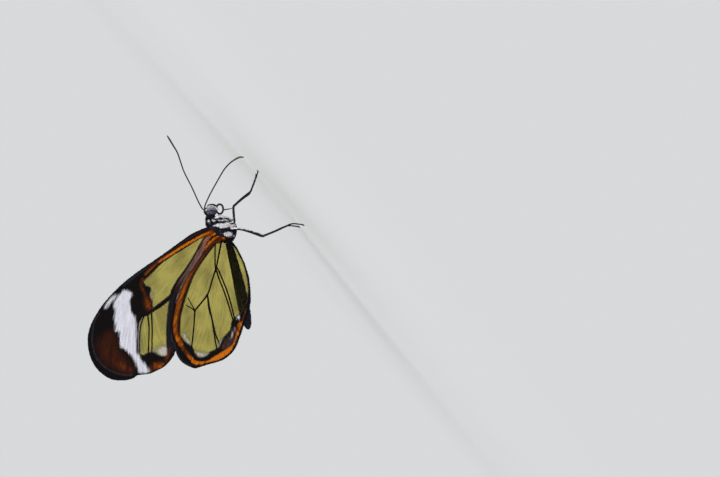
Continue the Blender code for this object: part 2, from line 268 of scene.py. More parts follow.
def on_side(point, side):
    """A point of the right side, or its mirror image."""
    return Vector((point[0], point[1] * side, point[2]))


def read_off(table, places):
    """Values of a table of (place, value) rows at the given places."""
    return np.interp(places, *np.array(table).T)


def unit(vectors):
    return vectors / np.linalg.norm(vectors, axis=1)[:, None]


def smooth_line(points, steps, ring=False):
    """A Catmull-Rom line through points of any length, closed into a ring or open."""
    points = np.array(points, float)
    if ring:
        padded = np.vstack([points[-1:], points, points[:2]])
    else:
        padded = np.vstack([2 * points[0] - points[1], points, 2 * points[-1] - points[-2]])
    share = (np.arange(steps) / steps)[:, None]
    runs = []
    for before, start, end, after in zip(padded, padded[1:], padded[2:], padded[3:]):
        runs.append(0.5 * (2 * start + (end - before) * share
                           + (2 * before - 5 * start + 4 * end - after) * share ** 2
                           + (3 * start - before - 3 * end + after) * share ** 3))
    if not ring:
        runs.append(points[-1:])
    return np.vstack(runs)


def sweep(bm, path, widths, heights, sides):
    """Adds a closed tube to bm with an oval ring at each point of the path."""
    path = [Vector(point) for point in path]
    rings = []
    across = None
    last = len(path) - 1
    for index, centre in enumerate(path):
        ahead = (path[min(index + 1, last)] - path[max(index - 1, 0)]).normalized()
        if across is None:
            across = Vector((0.0, 1.0, 0.0)) if abs(ahead.y) < 0.8 else Vector((1.0, 0.0, 0.0))
        across = (across - ahead * across.dot(ahead)).normalized()
        upward = ahead.cross(across)
        axes = Matrix((across * widths[index], upward * heights[index], ahead)).transposed().to_4x4()
        place = Matrix.Translation(centre) @ axes
        ring = bmesh.ops.create_circle(bm, segments=sides, radius=1.0, matrix=place)
        rings.append(list(dict.fromkeys(edge for vert in ring["verts"] for edge in vert.link_edges)))
    for near, beyond in zip(rings, rings[1:]):
        bmesh.ops.bridge_loops(bm, edges=near + beyond)
    bmesh.ops.holes_fill(bm, edges=rings[0] + rings[-1], sides=0)


def ball(bm, centre, radii, pitch=0.0, fineness=3):
    """Adds a closed oval ball to bm and pitches its front down."""
    place = Matrix.Translation(centre) @ Matrix.Rotation(pitch, 4, "Y") @ Matrix.Diagonal((*radii, 1.0))
    bmesh.ops.create_icosphere(bm, subdivisions=fineness, radius=1.0, matrix=place)


def mesh_of(bm, name):
    """Turns a finished bmesh into a mesh with its faces outwards."""
    bmesh.ops.recalc_face_normals(bm, faces=bm.faces)
    mesh = bpy.data.meshes.new(name)
    bm.to_mesh(mesh)
    bm.free()
    return mesh


def run_together(mesh, voxel):
    """Joins the closed shapes in a mesh into one skin by a voxel remesh."""
    holder = bpy.data.objects.new("lump", mesh)
    bpy.context.scene.collection.objects.link(holder)
    remesh = holder.modifiers.new("one skin", "REMESH")
    remesh.mode = "VOXEL"
    remesh.voxel_size = voxel
    graph = bpy.context.evaluated_depsgraph_get()
    skin = bpy.data.meshes.new_from_object(holder.evaluated_get(graph))
    bpy.data.objects.remove(holder)
    return skin


def points_of(mesh):
    points = np.zeros(len(mesh.vertices) * 3, np.float32)
    mesh.vertices.foreach_get("co", points)
    return points.reshape(-1, 3).astype(float)


def normals_of(mesh):
    normals = np.zeros(len(mesh.vertices) * 3, np.float32)
    mesh.vertex_normals.foreach_get("vector", normals)
    return normals.reshape(-1, 3).astype(float)


def put_points(mesh, points):
    mesh.vertices.foreach_set("co", np.asarray(points, np.float32).ravel())
    mesh.update()


def put_marks(mesh, marks):
    """Stores each named value, or vector, on the mesh's points."""
    for name, values in marks.items():
        values = np.asarray(values, np.float32)
        kind = "FLOAT" if values.ndim == 1 else "FLOAT_VECTOR"
        layer = mesh.attributes.new(name, kind, "POINT")
        layer.data.foreach_set("value" if kind == "FLOAT" else "vector", values.ravel())


def put_piece(name, mesh, material, replaced=(), smooth=True):
    """Carries a mesh in the butterfly's millimetres into the frame, as a piece that rides on the one body."""
    mesh.transform(Matrix.Diagonal((MM, MM, MM, 1.0)) @ Matrix.Translation((AHEAD, 0.0, 0.0)))
    mesh.update()
    if smooth:
        mesh.shade_smooth()
    mesh.materials.clear()
    mesh.materials.append(material)
    piece = bpy.data.objects.new(name, mesh)
    bpy.context.scene.collection.objects.link(piece)
    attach(piece, "root")
    if replaced:
        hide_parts(*replaced)
    return piece


def skin_of(mesh):
    """Points, normals and triangles of a mesh, to plant a coat on."""
    mesh.calc_loop_triangles()
    return points_of(mesh), normals_of(mesh), np.array([tuple(face.vertices) for face in mesh.loop_triangles])


def smoothstep(values, low, high):
    """0 below low, 1 above high and a soft rise between them."""
    share = np.clip((values - low) / (high - low), 0.0, 1.0)
    return share * share * (3.0 - 2.0 * share)


def nearest_on(points, line):
    """Each point's gap to a line of points, and the length along it, the tangent and the foot there."""
    line = np.asarray(line, float)
    best = np.full(len(points), 1e9)
    along = np.zeros(len(points))
    tangent = np.zeros((len(points), line.shape[1]))
    foot = np.zeros((len(points), line.shape[1]))
    passed = 0.0
    for start, end in zip(line, line[1:]):
        step = end - start
        length = np.linalg.norm(step)
        if length == 0.0:
            continue
        share = np.clip((points - start) @ step / length ** 2, 0.0, 1.0)
        reached = start + share[:, None] * step
        gap = np.linalg.norm(points - reached, axis=1)
        closer = gap < best
        best[closer] = gap[closer]
        along[closer] = passed + share[closer] * length
        tangent[closer] = step / length
        foot[closer] = reached[closer]
        passed += length
    return best, along, tangent, foot


# The trunk's own directions: a middle line from the face to the tail, and one up each palp.
MIDDLE_LINE = smooth_line(((3.75, 0, 9.05), (2.95, 0, 9.62), (2.30, 0, 10.42), (1.45, 0, 10.72),
                           (0.20, 0, 10.22), (-1.00, 0, 9.95), *ABDOMEN_PATH), 6)
PALP_LINES = [[on_side(point, side) for point in PALP_PATH] for _, side in SIDES]
WAIST = (-2.45, 0.0, 10.42)
WAIST_ALONG = nearest_on(np.array([WAIST]), MIDDLE_LINE)[1][0]
TRUNK_LENGTH = nearest_on(MIDDLE_LINE[-1:], MIDDLE_LINE)[1][0]
HEAD_ALONG = 1.75               # the head ends this far along the middle line
PALP_REACH = 0.29               # points this near a palp's line are the palp's
PALP_DARK_FROM = 0.30           # a palp's front is dark from here on
PALP_PALE, PALP_DARK = 1.0, 0.6
FRONT_AND_DOWN = (0.766, 0.0, -0.643)


def trunk_directions(points):
    """Each point's length along the trunk, lie of its scales, angle round it, and palp value.

    The palp value is PALP_PALE or PALP_DARK on the palps and 0 elsewhere.
    """
    _, along, tangent, foot = nearest_on(points, MIDDLE_LINE)
    angle = np.arctan2(points[:, 1], points[:, 2] - foot[:, 2])
    palp = np.zeros(len(points))
    for line in PALP_LINES:
        near, reached, forward, middle = nearest_on(points, line)
        mine = near < PALP_REACH
        ahead = (points - middle) @ np.array(FRONT_AND_DOWN)
        dark = (ahead > -0.02) & (reached > PALP_DARK_FROM)
        palp[mine] = np.where(dark[mine], PALP_DARK, PALP_PALE)
        tangent[mine] = forward[mine]
    return along, tangent, angle, palp


def eye_reach(points, side):
    """How far out of the eye each point is, 1 on its surface, and how far to its front and its top."""
    local = (points - np.array(on_side(EYE_CENTRE, side))) @ np.array(Matrix.Rotation(HEAD_PITCH, 3, "Y"))
    local = local / np.array(EYE_RADII)
    return np.linalg.norm(local, axis=1), local[:, 0], local[:, 2]


def inside(points, outline):
    """How far each point lies inside a closed outline, below 0 outside it."""
    outline = np.asarray(outline, float)
    gap = nearest_on(points, np.vstack([outline, outline[:1]]))[0]
    crossings = np.zeros(len(points), int)
    for (x, y), (far_x, far_y) in zip(outline, np.roll(outline, -1, axis=0)):
        spans = (y > points[:, 1]) != (far_y > points[:, 1])
        meet = x + (points[:, 1] - y) * (far_x - x) / (far_y - y + 1e-12)
        crossings += spans & (points[:, 0] < meet)
    return np.where(crossings % 2 == 1, gap, -gap)


# Marks of the trunk: outlines and lines of points (along, up) as seen from the side, and round spots.
WHITE_PATCHES = (
    ((1.02, 10.82), (0.62, 9.88), (0.20, 9.22), (-0.15, 8.68), (-0.72, 8.02), (-1.20, 7.80), (-1.50, 8.40),
     (-1.15, 9.02), (-0.80, 8.92), (-0.52, 9.52), (-0.22, 10.05), (0.30, 10.36), (0.85, 10.90)),
    ((-0.98, 10.38), (-1.05, 9.95), (-1.24, 9.55), (-1.75, 9.12), (-2.08, 9.30), (-1.90, 9.86),
     (-1.60, 10.26)),
    ((1.80, 10.40), (1.80, 9.60), (1.65, 9.10), (1.10, 8.80), (0.50, 8.20), (-0.40, 7.60), (-0.80, 7.72),
     (-0.20, 8.40), (0.36, 8.98), (0.86, 9.68), (1.15, 9.90), (1.45, 10.40)),
)
BLACK_STROKES = (               # points, half width
    (((1.42, 10.05), (1.25, 9.68), (1.05, 9.36), (0.76, 9.08)), 0.075),
    (((0.74, 8.76), (0.48, 8.50), (0.14, 8.30)), 0.075),
    (((0.62, 9.10), (0.20, 8.72), (-0.40, 8.06), (-0.90, 7.62)), 0.035),
)
WHITE_SPOTS = (                 # along, out to the side, up, radius
    (2.02, 0.62, 10.82, 0.22), (3.42, 0.0, 10.18, 0.16), (3.46, 0.50, 9.92, 0.13),
    (-1.10, 0.55, 11.98, 0.20), (3.74, 0.24, 9.30, 0.16),
    (-2.26, 0.80, 9.20, 0.15), (-0.40, 1.36, 11.10, 0.12), (-0.34, 1.45, 10.50, 0.10),
)
# Painted sheen: spots where a bluish sheen is painted on the scales, on the lobes over the wings' hinges and
# on the thorax's side.
SHEEN_SPOTS = ((0.95, 0.95, 11.30, 0.34), (0.60, 1.05, 11.05, 0.30), (-0.75, 1.45, 10.60, 0.34))
BLACK_BACK = 0.30               # no white patch comes nearer to the middle than this
WHITE_EYE_RIM = 1.14            # the white in front of the eye ends at this many eye radii
THORAX_LINES = (((-1.42, 8.2), (-1.62, 11.6)), ((1.3, 9.5), (-0.2, 8.9)), ((0.6, 11.4), (-2.2, 10.6)))


def stroked(points, white):
    """The white mark, cut by the black strokes."""
    for line, half in BLACK_STROKES:
        gap = nearest_on(points[:, (0, 2)], line)[0]
        white = np.minimum(white, gap - half)
    return white


def trunk_marks(points):
    """White, painted bluish sheen and abdomen values for points of the trunk."""
    flat = points[:, (0, 2)]
    aside = np.abs(points[:, 1])
    white = np.full(len(points), -1.0)
    for outline in WHITE_PATCHES:
        white = np.maximum(white, np.where(aside > BLACK_BACK, inside(flat, outline), -1.0))
    white = stroked(points, white)
    beside = np.column_stack([points[:, 0], aside, points[:, 2]])
    for *centre, radius in WHITE_SPOTS:
        white = np.maximum(white, radius - np.linalg.norm(beside - centre, axis=1))
    bluish_sheen = np.zeros(len(points))
    for *centre, radius in SHEEN_SPOTS:
        bluish_sheen = np.maximum(bluish_sheen, smoothstep(radius - np.linalg.norm(beside - centre, axis=1), -0.10, 0.20))
    along, _, angle, palp = trunk_directions(points)
    white = np.where(palp == PALP_PALE, 0.22, np.where(palp == PALP_DARK, -0.5, white))
    for _, side in SIDES:
        out, front, _ = eye_reach(points, side)
        white = np.where((out < WHITE_EYE_RIM) & (front > 0.1) & (palp == 0.0), 0.10, white)
    abdomen = smoothstep(along, WAIST_ALONG - 0.1, WAIST_ALONG + 0.3)
    under = abdomen * smoothstep(np.abs(angle), 2.45, 3.0)
    white = np.where(abdomen > 0.5, np.maximum(-1.0, 0.02 - 0.25 * (1.0 - under)), white)
    return {"white": white, "bluish_sheen": bluish_sheen, "abdomen": abdomen}


bm = bmesh.new()
for rings in (THORAX_RINGS, NECK_RINGS):
    stations = smooth_line(rings, 3)
    widths, heights = stations[:, 2:].T - COAT_DEPTH
    sweep(bm, [(along, 0.0, up) for along, up, _, _ in stations], widths, heights, 40)
abdomen_line = smooth_line(ABDOMEN_PATH, 100)
shares = np.linspace(0.0, 1.0, 60)
girth = np.maximum(read_off(ABDOMEN_GIRTH, shares) - FINE_COAT_DEPTH, 0.05)
stations = abdomen_line[np.round(shares * (len(abdomen_line) - 1)).astype(int)]
sweep(bm, stations, girth * ABDOMEN_NARROWING, girth, 32)
ball(bm, HEAD_CENTRE, [radius - FINE_COAT_DEPTH for radius in HEAD_RADII], HEAD_PITCH, 4)
for _, side in SIDES:
    palp = smooth_line([on_side(point, side) for point in PALP_PATH], 5)
    thickness = np.interp(np.arange(len(palp)) / 5, range(len(PALP_RADII)), PALP_RADII)
    sweep(bm, palp, thickness, thickness * PALP_HEIGHT, 16)
    for centre, radius in HIPS:
        ball(bm, on_side(centre, side), (radius, radius * 0.8, radius * 1.1))
    ball(bm, on_side(TEGULA[0], side), TEGULA[1])
for centre in ANTENNA_SOCKETS:
    ball(bm, centre, (SOCKET_RADIUS, SOCKET_RADIUS, SOCKET_RADIUS))
ball(bm, *THROAT)
trunk = run_together(mesh_of(bm, "trunk_lump"), VOXEL)
bm = bmesh.new()
bm.from_mesh(trunk)
for _ in range(SMOOTHINGS):
    bmesh.ops.smooth_vert(bm, verts=bm.verts, factor=0.5, use_axis_x=True, use_axis_y=True, use_axis_z=True)
trunk = mesh_of(bm, "trunk_skin")
points = points_of(trunk)
share = (trunk_directions(points)[0] - WAIST_ALONG) / (TRUNK_LENGTH - WAIST_ALONG)
press = np.zeros(len(points))
for ring in ABDOMEN_RINGS:
    press += RING_GROOVE * np.exp(-((share - ring) / 0.007) ** 2)
    press += 0.5 * RING_GROOVE * np.where(share > ring, np.exp(-(share - ring) / 0.035), 0.0)
for line in THORAX_LINES:
    gap = nearest_on(points[:, (0, 2)], line)[0]
    press += np.where(share < 0.0, PLATE_GROOVE * np.exp(-(gap / 0.09) ** 2), 0.0)
put_points(trunk, points - normals_of(trunk) * press[:, None])

BODY_BLACK = (0.004, 0.0035, 0.006)
BODY_GREY = (0.019, 0.018, 0.025)
# The bluish grey of the painted sheen.
BODY_BLUISH_SHEEN = (0.035, 0.048, 0.095)
ABDOMEN_DARK = (0.005, 0.005, 0.009)
ABDOMEN_LIGHT = (0.019, 0.018, 0.032)
WHITE = (0.95, 0.95, 0.96)
WHITE_SHADE = (0.58, 0.54, 0.62)
SCALE_SHINE = 0.07
FINE_GRAIN, BROAD_GRAIN, BUMP_GRAIN = 9000.0, 2000.0, 16000.0       # to the metre


def scaly_finish(name):
    """Black scales with white, painted bluish sheen and abdomen marks, read from the points, skin and coat
    alike.
    """
    material, tree = finish(name)
    place = tree.place()
    fine = tree.noise(place, FINE_GRAIN)
    broad = tree.noise(place, BROAD_GRAIN)
    black = (fine + 0.5).kept().mixed(BODY_BLACK, BODY_GREY)
    # Painted sheen: the black turns bluish grey where the sheen mark is.
    black = (tree.mark("bluish_sheen") * (0.6 + broad * 2.0)).kept().mixed(black, BODY_BLUISH_SHEEN)
    brown = (broad + fine * 0.6 + 0.5).kept().mixed(ABDOMEN_DARK, ABDOMEN_LIGHT)
    colour = tree.mark("abdomen").mixed(black, brown)
    pale = (fine + broad * 2.0 + 0.62).kept().mixed(WHITE_SHADE, WHITE)
    colour = (tree.mark("white") + broad * 0.34 + fine * 0.12).ramp(-0.03, 0.06).mixed(colour, pale)
    normal = raised(tree, tree.noise(place, BUMP_GRAIN, 2.0), 0.000012)
    closed(tree, principled(tree, colour, 0.66 + fine * 0.2, normal, Specular_IOR_Level=SCALE_SHINE))
    return material


scaly = scaly_finish("trunk_scales")
put_marks(trunk, trunk_marks(points_of(trunk)))
trunk_surface = skin_of(trunk)
FLESH_NODES = ("head", "prothorax", "thorax", "abdomen", "palp_left", "palp_right")
put_piece("trunk_skin", trunk, scaly, FLESH_NODES)

# The coat of the trunk: short flat scales all over, and finer hair on all but the abdomen, both of horn.
# Each is a small closed shape with its root in the skin. It lies towards the tail and is marked as the
# skin is at its root.
COAT_KINDS = (                  # name, shape, spacing, (length, half width, thickness, lift)
    ("trunk_scales", "scale", 0.115, (0.26, 0.060, 0.014, 0.030)),
    ("trunk_hair", "hair", 0.095, (0.42, 0.022, 0.022, 0.085)),
)
COAT_SEED = 10
HEAD_SIZE, PALP_SIZE = 0.5, 1.15    # of the sizes above
SHAGGY = 1.25                   # how much longer the white hair is
HAIR_DROOP, SCALE_DROOP = 0.25, 0.05
TUFT_PATCH = 0.003              # size of a tuft's own patch on the unwrap
ROOT_DEPTH = 0.004
TRIES = 8                       # roots drawn for each cell of the spacing
PENTAGON = (-0.81, 0.95)        # how far a pentagon of radius 1 reaches back, and to each side


def unit_shape(kind):
    """Points and triangles of a scale or hair from its root at 0 to 1 along X, one unit wide to each side."""
    bm = bmesh.new()
    if kind == "scale":
        back, aside = PENTAGON
        bmesh.ops.create_cone(bm, cap_ends=True, segments=5, radius1=1.0, radius2=0.0, depth=1.0)
        bmesh.ops.triangulate(bm, faces=bm.faces)
        for vert in bm.verts:
            vert.co = ((vert.co.x - back) / (1.0 - back), vert.co.y / aside, -vert.co.z)
    else:
        bmesh.ops.create_cone(bm, cap_ends=True, segments=3, radius1=1.0, radius2=0.0, depth=1.0)
        long_edges = [edge for edge in bm.edges if abs(edge.verts[0].co.z - edge.verts[1].co.z) > 0.5]
        bmesh.ops.subdivide_edges(bm, edges=long_edges, cuts=2)
        bmesh.ops.triangulate(bm, faces=bm.faces)
        for vert in bm.verts:
            share = vert.co.z + 0.5
            swell = 1.0 + 0.9 * share * (1.0 - share)
            vert.co = (share, vert.co.y * swell, vert.co.x * swell)
    bmesh.ops.recalc_face_normals(bm, faces=bm.faces)
    points = np.array([vert.co[:] for vert in bm.verts])
    bm.verts.index_update()
    triangles = np.array([[vert.index for vert in face.verts] for face in bm.faces])
    bm.free()
    return points, triangles


SHAPES = {kind: unit_shape(kind) for kind in ("scale", "hair")}


def plant(name, kind, roots, normals, along, sizes, marks, unwrap):
    """Joins one scale or hair for each root into a mesh, with the root's marks and patch of the unwrap."""
    shape, triangles = SHAPES[kind]
    along = unit(along - normals * (along * normals).sum(axis=1)[:, None])
    across = np.cross(normals, along)
    sized = {key: np.broadcast_to(value, len(roots))[:, None, None] for key, value in sizes.items()}
    share, side, height = [shape[None, :, axis, None] for axis in range(3)]
    rise = sized["lift"] * share * (1.9 - share * 0.9)
    points = (roots[:, None, :]
              + along[:, None, :] * share * sized["length"]
              + across[:, None, :] * side * sized["half_width"]
              + normals[:, None, :] * (height * sized["thickness"] + rise - ROOT_DEPTH))
    size = len(shape)
    faces = (triangles[None] + (np.arange(len(roots)) * size)[:, None, None]).reshape(-1, 3)
    mesh = bpy.data.meshes.new(name)
    mesh.from_pydata(points.reshape(-1, 3), [], faces)
    put_marks(mesh, {key: np.repeat(value, size, axis=0) for key, value in marks.items()})
    patch = unwrap[:, None, :] + (shape[None, :, :2] * (1.0, 0.5) - (0.5, 0.0)) * TUFT_PATCH
    layer = mesh.uv_layers.new(name="OFBake")
    corners = np.zeros(len(mesh.loops), int)
    mesh.loops.foreach_get("vertex_index", corners)
    layer.data.foreach_set("uv", patch.reshape(-1, 2)[corners].astype(np.float32).ravel())
    return mesh


def scattered(points, normals, triangles, spacing, seed):
    """Roots spread over a skin, one to each cell of a grid as fine as the spacing, and the normals there."""
    random = np.random.default_rng(seed)
    corners = points[triangles]
    areas = np.linalg.norm(np.cross(corners[:, 1] - corners[:, 0], corners[:, 2] - corners[:, 0]), axis=1) / 2
    tries = int(areas.sum() / spacing ** 2 * TRIES)
    chosen = random.choice(len(triangles), tries, p=areas / areas.sum())
    weights = random.dirichlet((1.0, 1.0, 1.0), tries)
    roots = (corners[chosen] * weights[:, :, None]).sum(axis=1)
    facing = (normals[triangles][chosen] * weights[:, :, None]).sum(axis=1)
    _, first = np.unique(np.floor(roots / spacing).astype(int), axis=0, return_index=True)
    first.sort()
    return roots[first], unit(facing[first]), random


def unwrapped(along, length, angle):
    """Where roots lie on the unwrap of a long body: its length across the map, and its round up it."""
    return np.column_stack([0.01 + 0.98 * along / length, 0.5 + angle / (2.04 * math.pi)])


for number, (name, kind, spacing, size) in enumerate(COAT_KINDS):
    roots, facing, random = scattered(*trunk_surface, spacing, COAT_SEED + number)
    along, tangent, angle, palp = trunk_directions(roots)
    marks = trunk_marks(roots)
    in_eye = (eye_reach(roots, 1.0)[0] < 1.03) | (eye_reach(roots, -1.0)[0] < 1.03)
    keep = ~in_eye & ((marks["abdomen"] < 0.3) | (kind == "scale"))
    roots, facing, tangent, along, angle, palp = [values[keep] for values in
                                                  (roots, facing, tangent, along, angle, palp)]
    marks = {key: values[keep] for key, values in marks.items()}
    small = np.where(along < HEAD_ALONG, HEAD_SIZE, 1.0) * np.where(palp > 0.0, PALP_SIZE, 1.0)
    shaggy = np.where((marks["white"] > 0.0) & (marks["abdomen"] < 0.5) & (kind == "hair"), SHAGGY, 1.0)
    length, half_width, thickness, lift = size
    sizes = {"length": length * small * shaggy * random.uniform(0.75, 1.25, len(roots)),
             "half_width": half_width * np.sqrt(small), "thickness": thickness,
             "lift": lift * small * random.uniform(0.5, 1.2, len(roots))}
    droop = np.array((0.0, 0.0, HAIR_DROOP if kind == "hair" else SCALE_DROOP))
    lie = tangent + random.normal(0.0, 0.13, roots.shape) - droop
    coat = plant(name, kind, roots, facing, lie, sizes, marks, unwrapped(along, TRUNK_LENGTH, angle))
    put_piece(name, coat, scaly, (), kind == "hair")

# The eyes: two bulging domes of fine facets, of clear hard horn, each sunk in the head by half its depth.
# They are dark purple, with darker bands across; their pale lavender front is a painted reflection of the
# sky.
FACETS_PER_METRE = 22000.0
# Stops from 0.70 up are the pale lavender of a painted reflection of the sky.
EYE_AND_SKY_REFLECTION_STOPS = ((0.0, (0.002, 0.002, 0.003)), (0.15, (0.004, 0.003, 0.006)), (0.28, (0.030, 0.016, 0.052)),
             (0.43, (0.056, 0.036, 0.098)), (0.50, (0.005, 0.003, 0.009)), (0.61, (0.005, 0.003, 0.009)),
             (0.70, (0.190, 0.165, 0.255)), (0.77, (0.090, 0.072, 0.130)), (0.86, (0.300, 0.270, 0.360)),
             (0.96, (0.370, 0.340, 0.420)))
BAND_ARCH = 0.22                # how far the eye's bands bend down at their ends
BAND_GRAIN = 1500.0


def eye_finish(name):
    """Facets as fine bumps, and bands that follow the front mark, with a painted sky reflection on the front.
    """
    material, tree = finish(name)
    place = tree.place()
    band = tree.mark("front") * 0.5 + tree.noise(place, BAND_GRAIN) * 0.10 + 0.5
    colour = tree.node("ShaderNodeValToRGB", {"stops": EYE_AND_SKY_REFLECTION_STOPS}, {0: band}, "Color")
    facet = tree.node("ShaderNodeTexVoronoi", {}, {"Vector": place, "Scale": FACETS_PER_METRE}, "Distance")
    normal = raised(tree, 1.0 - facet, 0.000004)
    plain = {"Coat_Weight": 0.14, "Coat_Roughness": 0.16, "Specular_IOR_Level": 0.3}
    closed(tree, principled(tree, colour, 0.30 + facet * 0.12, normal, **plain))
    return material


eye_gloss = eye_finish("eye_gloss")
for side_name, side in SIDES:
    bm = bmesh.new()
    ball(bm, on_side(EYE_CENTRE, side), EYE_RADII, HEAD_PITCH, 5)
    eye = mesh_of(bm, f"eye_{side_name}_dome")
    _, front, top = eye_reach(points_of(eye), side)
    put_marks(eye, {"front": front + BAND_ARCH * top * top})
    put_piece(f"eye_{side_name}_dome", eye, eye_gloss, (f"eye_{side_name}",))

# The tongue: two half tubes zipped into one, with springy rings of dark horn. It makes an open turn
# under the face and a second one behind it, and its thin end hangs loose.
MOUTH = (2.55, 0.0, 9.15)
COIL_MIDDLE = Vector((2.20, 0.0, 8.26))
COIL_LONG = Vector(FRONT_AND_DOWN)
COIL_WIDE = Vector((-0.643, 0.0, -0.766))
COIL_REACH = (0.76, 0.54)       # half the turn's length and breadth, at the tube's middle
COIL_FROM = 225.0               # degrees from the long axis, at the mouth
COIL_TURN = -487.0
COIL_BEHIND = 0.46              # how far to the left its second half lies
TONGUE_RINGS = 110
TONGUE_GIRTH = ((0.0, 0.165), (0.45, 0.165), (0.78, 0.120), (0.92, 0.095), (1.0, 0.060))
TONGUE_END = ((1.62, 0.58, 7.68), (1.32, 0.66, 7.17), (1.03, 0.72, 6.66))
HORN = (0.010, 0.006, 0.007)
HORN_PALE = (0.048, 0.030, 0.010)
HORN_GRAIN = 14000.0


def lengths_along(line):
    """The length from a line's start to each of its points."""
    return np.concatenate([[0.0], np.cumsum(np.linalg.norm(np.diff(line, axis=0), axis=1))])


def line_at(line, shares):
    """Points at the given shares of a line's length."""
    passed = lengths_along(line)
    places = np.asarray(shares) * passed[-1]
    return np.column_stack([np.interp(places, passed, line[:, axis]) for axis in range(line.shape[1])])


def jointed(bm, line, joints, girth, sides, narrow=0.84, flat=1.0):
    """A tube of joints, each narrowest where it begins and widest near its end."""
    shares, sizes = [], []
    profile = ((0.02, narrow), (0.20, 0.96), (0.80, 1.05), (0.97, narrow))
    for joint in range(joints):
        for place, size in profile:
            shares.append((joint + place) / joints)
            sizes.append(size * read_off(girth, shares[-1]))
    sweep(bm, line_at(line, shares), sizes, [size * flat for size in sizes], sides)


def horn_finish(name, dark, pale, roughness):
    """Hard skin: dark, paler where the tip mark is high, with a fine grain of bump."""
    material, tree = finish(name)
    fine = tree.noise(tree.place(), HORN_GRAIN)
    colour = (tree.mark("tip") + fine * 0.4).kept().mixed(dark, pale)
    normal = raised(tree, fine, 0.000010)
    closed(tree, principled(tree, colour, roughness + fine * 0.2, normal, Specular_IOR_Level=0.35))
    return material


bm = bmesh.new()
turn = []
for share in np.linspace(0.0, 1.0, 21):
    angle = math.radians(COIL_FROM + COIL_TURN * share)
    behind = COIL_BEHIND * smoothstep(share, 0.5, 1.0)
    turn.append(COIL_MIDDLE + COIL_LONG * math.cos(angle) * COIL_REACH[0]
                + COIL_WIDE * math.sin(angle) * COIL_REACH[1] + Vector((0.0, behind, 0.0)))
tongue_line = smooth_line([MOUTH, *turn, *TONGUE_END], 5)
jointed(bm, tongue_line, TONGUE_RINGS, TONGUE_GIRTH, 10, 0.90)
tongue = mesh_of(bm, "tongue")
past_coil = nearest_on(points_of(tongue), TONGUE_END)[0]
put_marks(tongue, {"tip": smoothstep(0.4 - past_coil, 0.0, 0.3)})
horn = horn_finish("tongue_horn", HORN, HORN_PALE, 0.32)
put_piece("tongue", tongue, horn, ("proboscis", "proboscis_tip"))

# The feelers: some forty short joints of black horn each, thin at the base and thicker towards a slender
# club, on a swollen base joint. The right one swings forward and down, the left one straight ahead.
ANTENNAE = {
    "right": ((3.10, -0.30, 10.10), (3.88, -0.50, 9.98), (4.62, -1.30, 8.66), (5.16, -2.30, 7.37),
              (5.79, -3.50, 5.67), (6.35, -4.60, 4.06), (6.55, -5.40, 2.86), (6.50, -6.00, 1.86),
              (6.28, -6.50, 0.92), (5.85, -6.85, 0.44)),
    "left": ((3.20, 0.28, 9.90), (3.81, 0.30, 10.30), (4.65, 0.40, 10.22), (5.60, 0.52, 10.00),
             (7.55, 0.72, 9.45), (10.32, 1.05, 8.79), (11.92, 1.28, 8.19), (13.41, 1.50, 7.63),
             (14.88, 1.72, 7.38), (16.50, 2.00, 7.12)),
}
ANTENNA_JOINTS = 40
ANTENNA_GIRTH = ((0.0, 0.112), (0.60, 0.110), (0.80, 0.122), (0.90, 0.145), (0.96, 0.150), (1.0, 0.090))
BASE_JOINT = (0.17, 0.15, 0.15)
CLUB_END = (0.09, 0.09, 0.09)
ANTENNA_BLACK = (0.008, 0.006, 0.006)
ANTENNA_BROWN = (0.085, 0.040, 0.020)
CLUB_BROWN = {"right": 0.75, "left": 0.25}
feeler_horn = horn_finish("feeler_horn", ANTENNA_BLACK, ANTENNA_BROWN, 0.5)
for name, route in ANTENNAE.items():
    line = smooth_line(route, 12)
    bm = bmesh.new()
    jointed(bm, line, ANTENNA_JOINTS, ANTENNA_GIRTH, 12)
    ball(bm, line_at(line, [0.035])[0], BASE_JOINT)
    ball(bm, line_at(line, [0.998])[0], CLUB_END)
    antenna = mesh_of(bm, f"feeler_{name}")
    along = nearest_on(points_of(antenna), line[::4])[1]
    put_marks(antenna, {"tip": CLUB_BROWN[name] * smoothstep(along / along.max(), 0.72, 1.0)})
    put_piece(f"feeler_{name}", antenna, feeler_horn, (f"antenna_{name}",))

# The legs: four slender walking legs and, against the breast, two short brush-like forelegs.
# Thigh, shin and five foot joints are of black horn under flat scales, with spurs, stiff hairs and claws.
LEGS = {
    "mid": (((-0.45, -0.75, 8.60), (-0.83, -1.30, 7.88), (-0.20, -1.95, 7.35), (1.13, -3.10, 6.39)),
            ((1.13, -3.10, 6.39), (1.20, -3.85, 4.63), (1.12, -4.60, 2.91)),
            ((1.12, -4.60, 2.91), (1.75, -5.00, 1.75), (2.36, -5.35, 0.70), (2.74, -5.53, 0.14))),
    "hind": (((-1.30, -0.95, 9.00), (-2.20, -1.85, 7.88), (-3.30, -2.60, 7.05), (-5.46, -4.30, 5.76)),
             ((-5.46, -4.30, 5.76), (-6.00, -5.05, 4.10), (-6.42, -5.95, 2.60)),
             ((-6.42, -5.95, 2.60), (-6.82, -6.50, 1.35), (-7.48, -6.80, 0.62), (-8.02, -6.95, 0.14))),
}
FORELEG = ((1.34, -0.56, 10.15), (1.42, -0.64, 9.70), (1.40, -0.70, 9.22), (1.00, -0.74, 8.80),
           (0.48, -0.76, 8.40), (-0.06, -0.80, 7.94), (-0.34, -0.84, 7.58))
THIGH_GIRTH = ((0.0, 0.13), (0.25, 0.145), (0.8, 0.115), (0.97, 0.125), (1.0, 0.08))
SHIN_GIRTH = ((0.0, 0.075), (0.04, 0.105), (0.6, 0.100), (0.95, 0.115), (1.0, 0.08))
FOOT_GIRTH = ((0.0, 0.100), (1.0, 0.070))
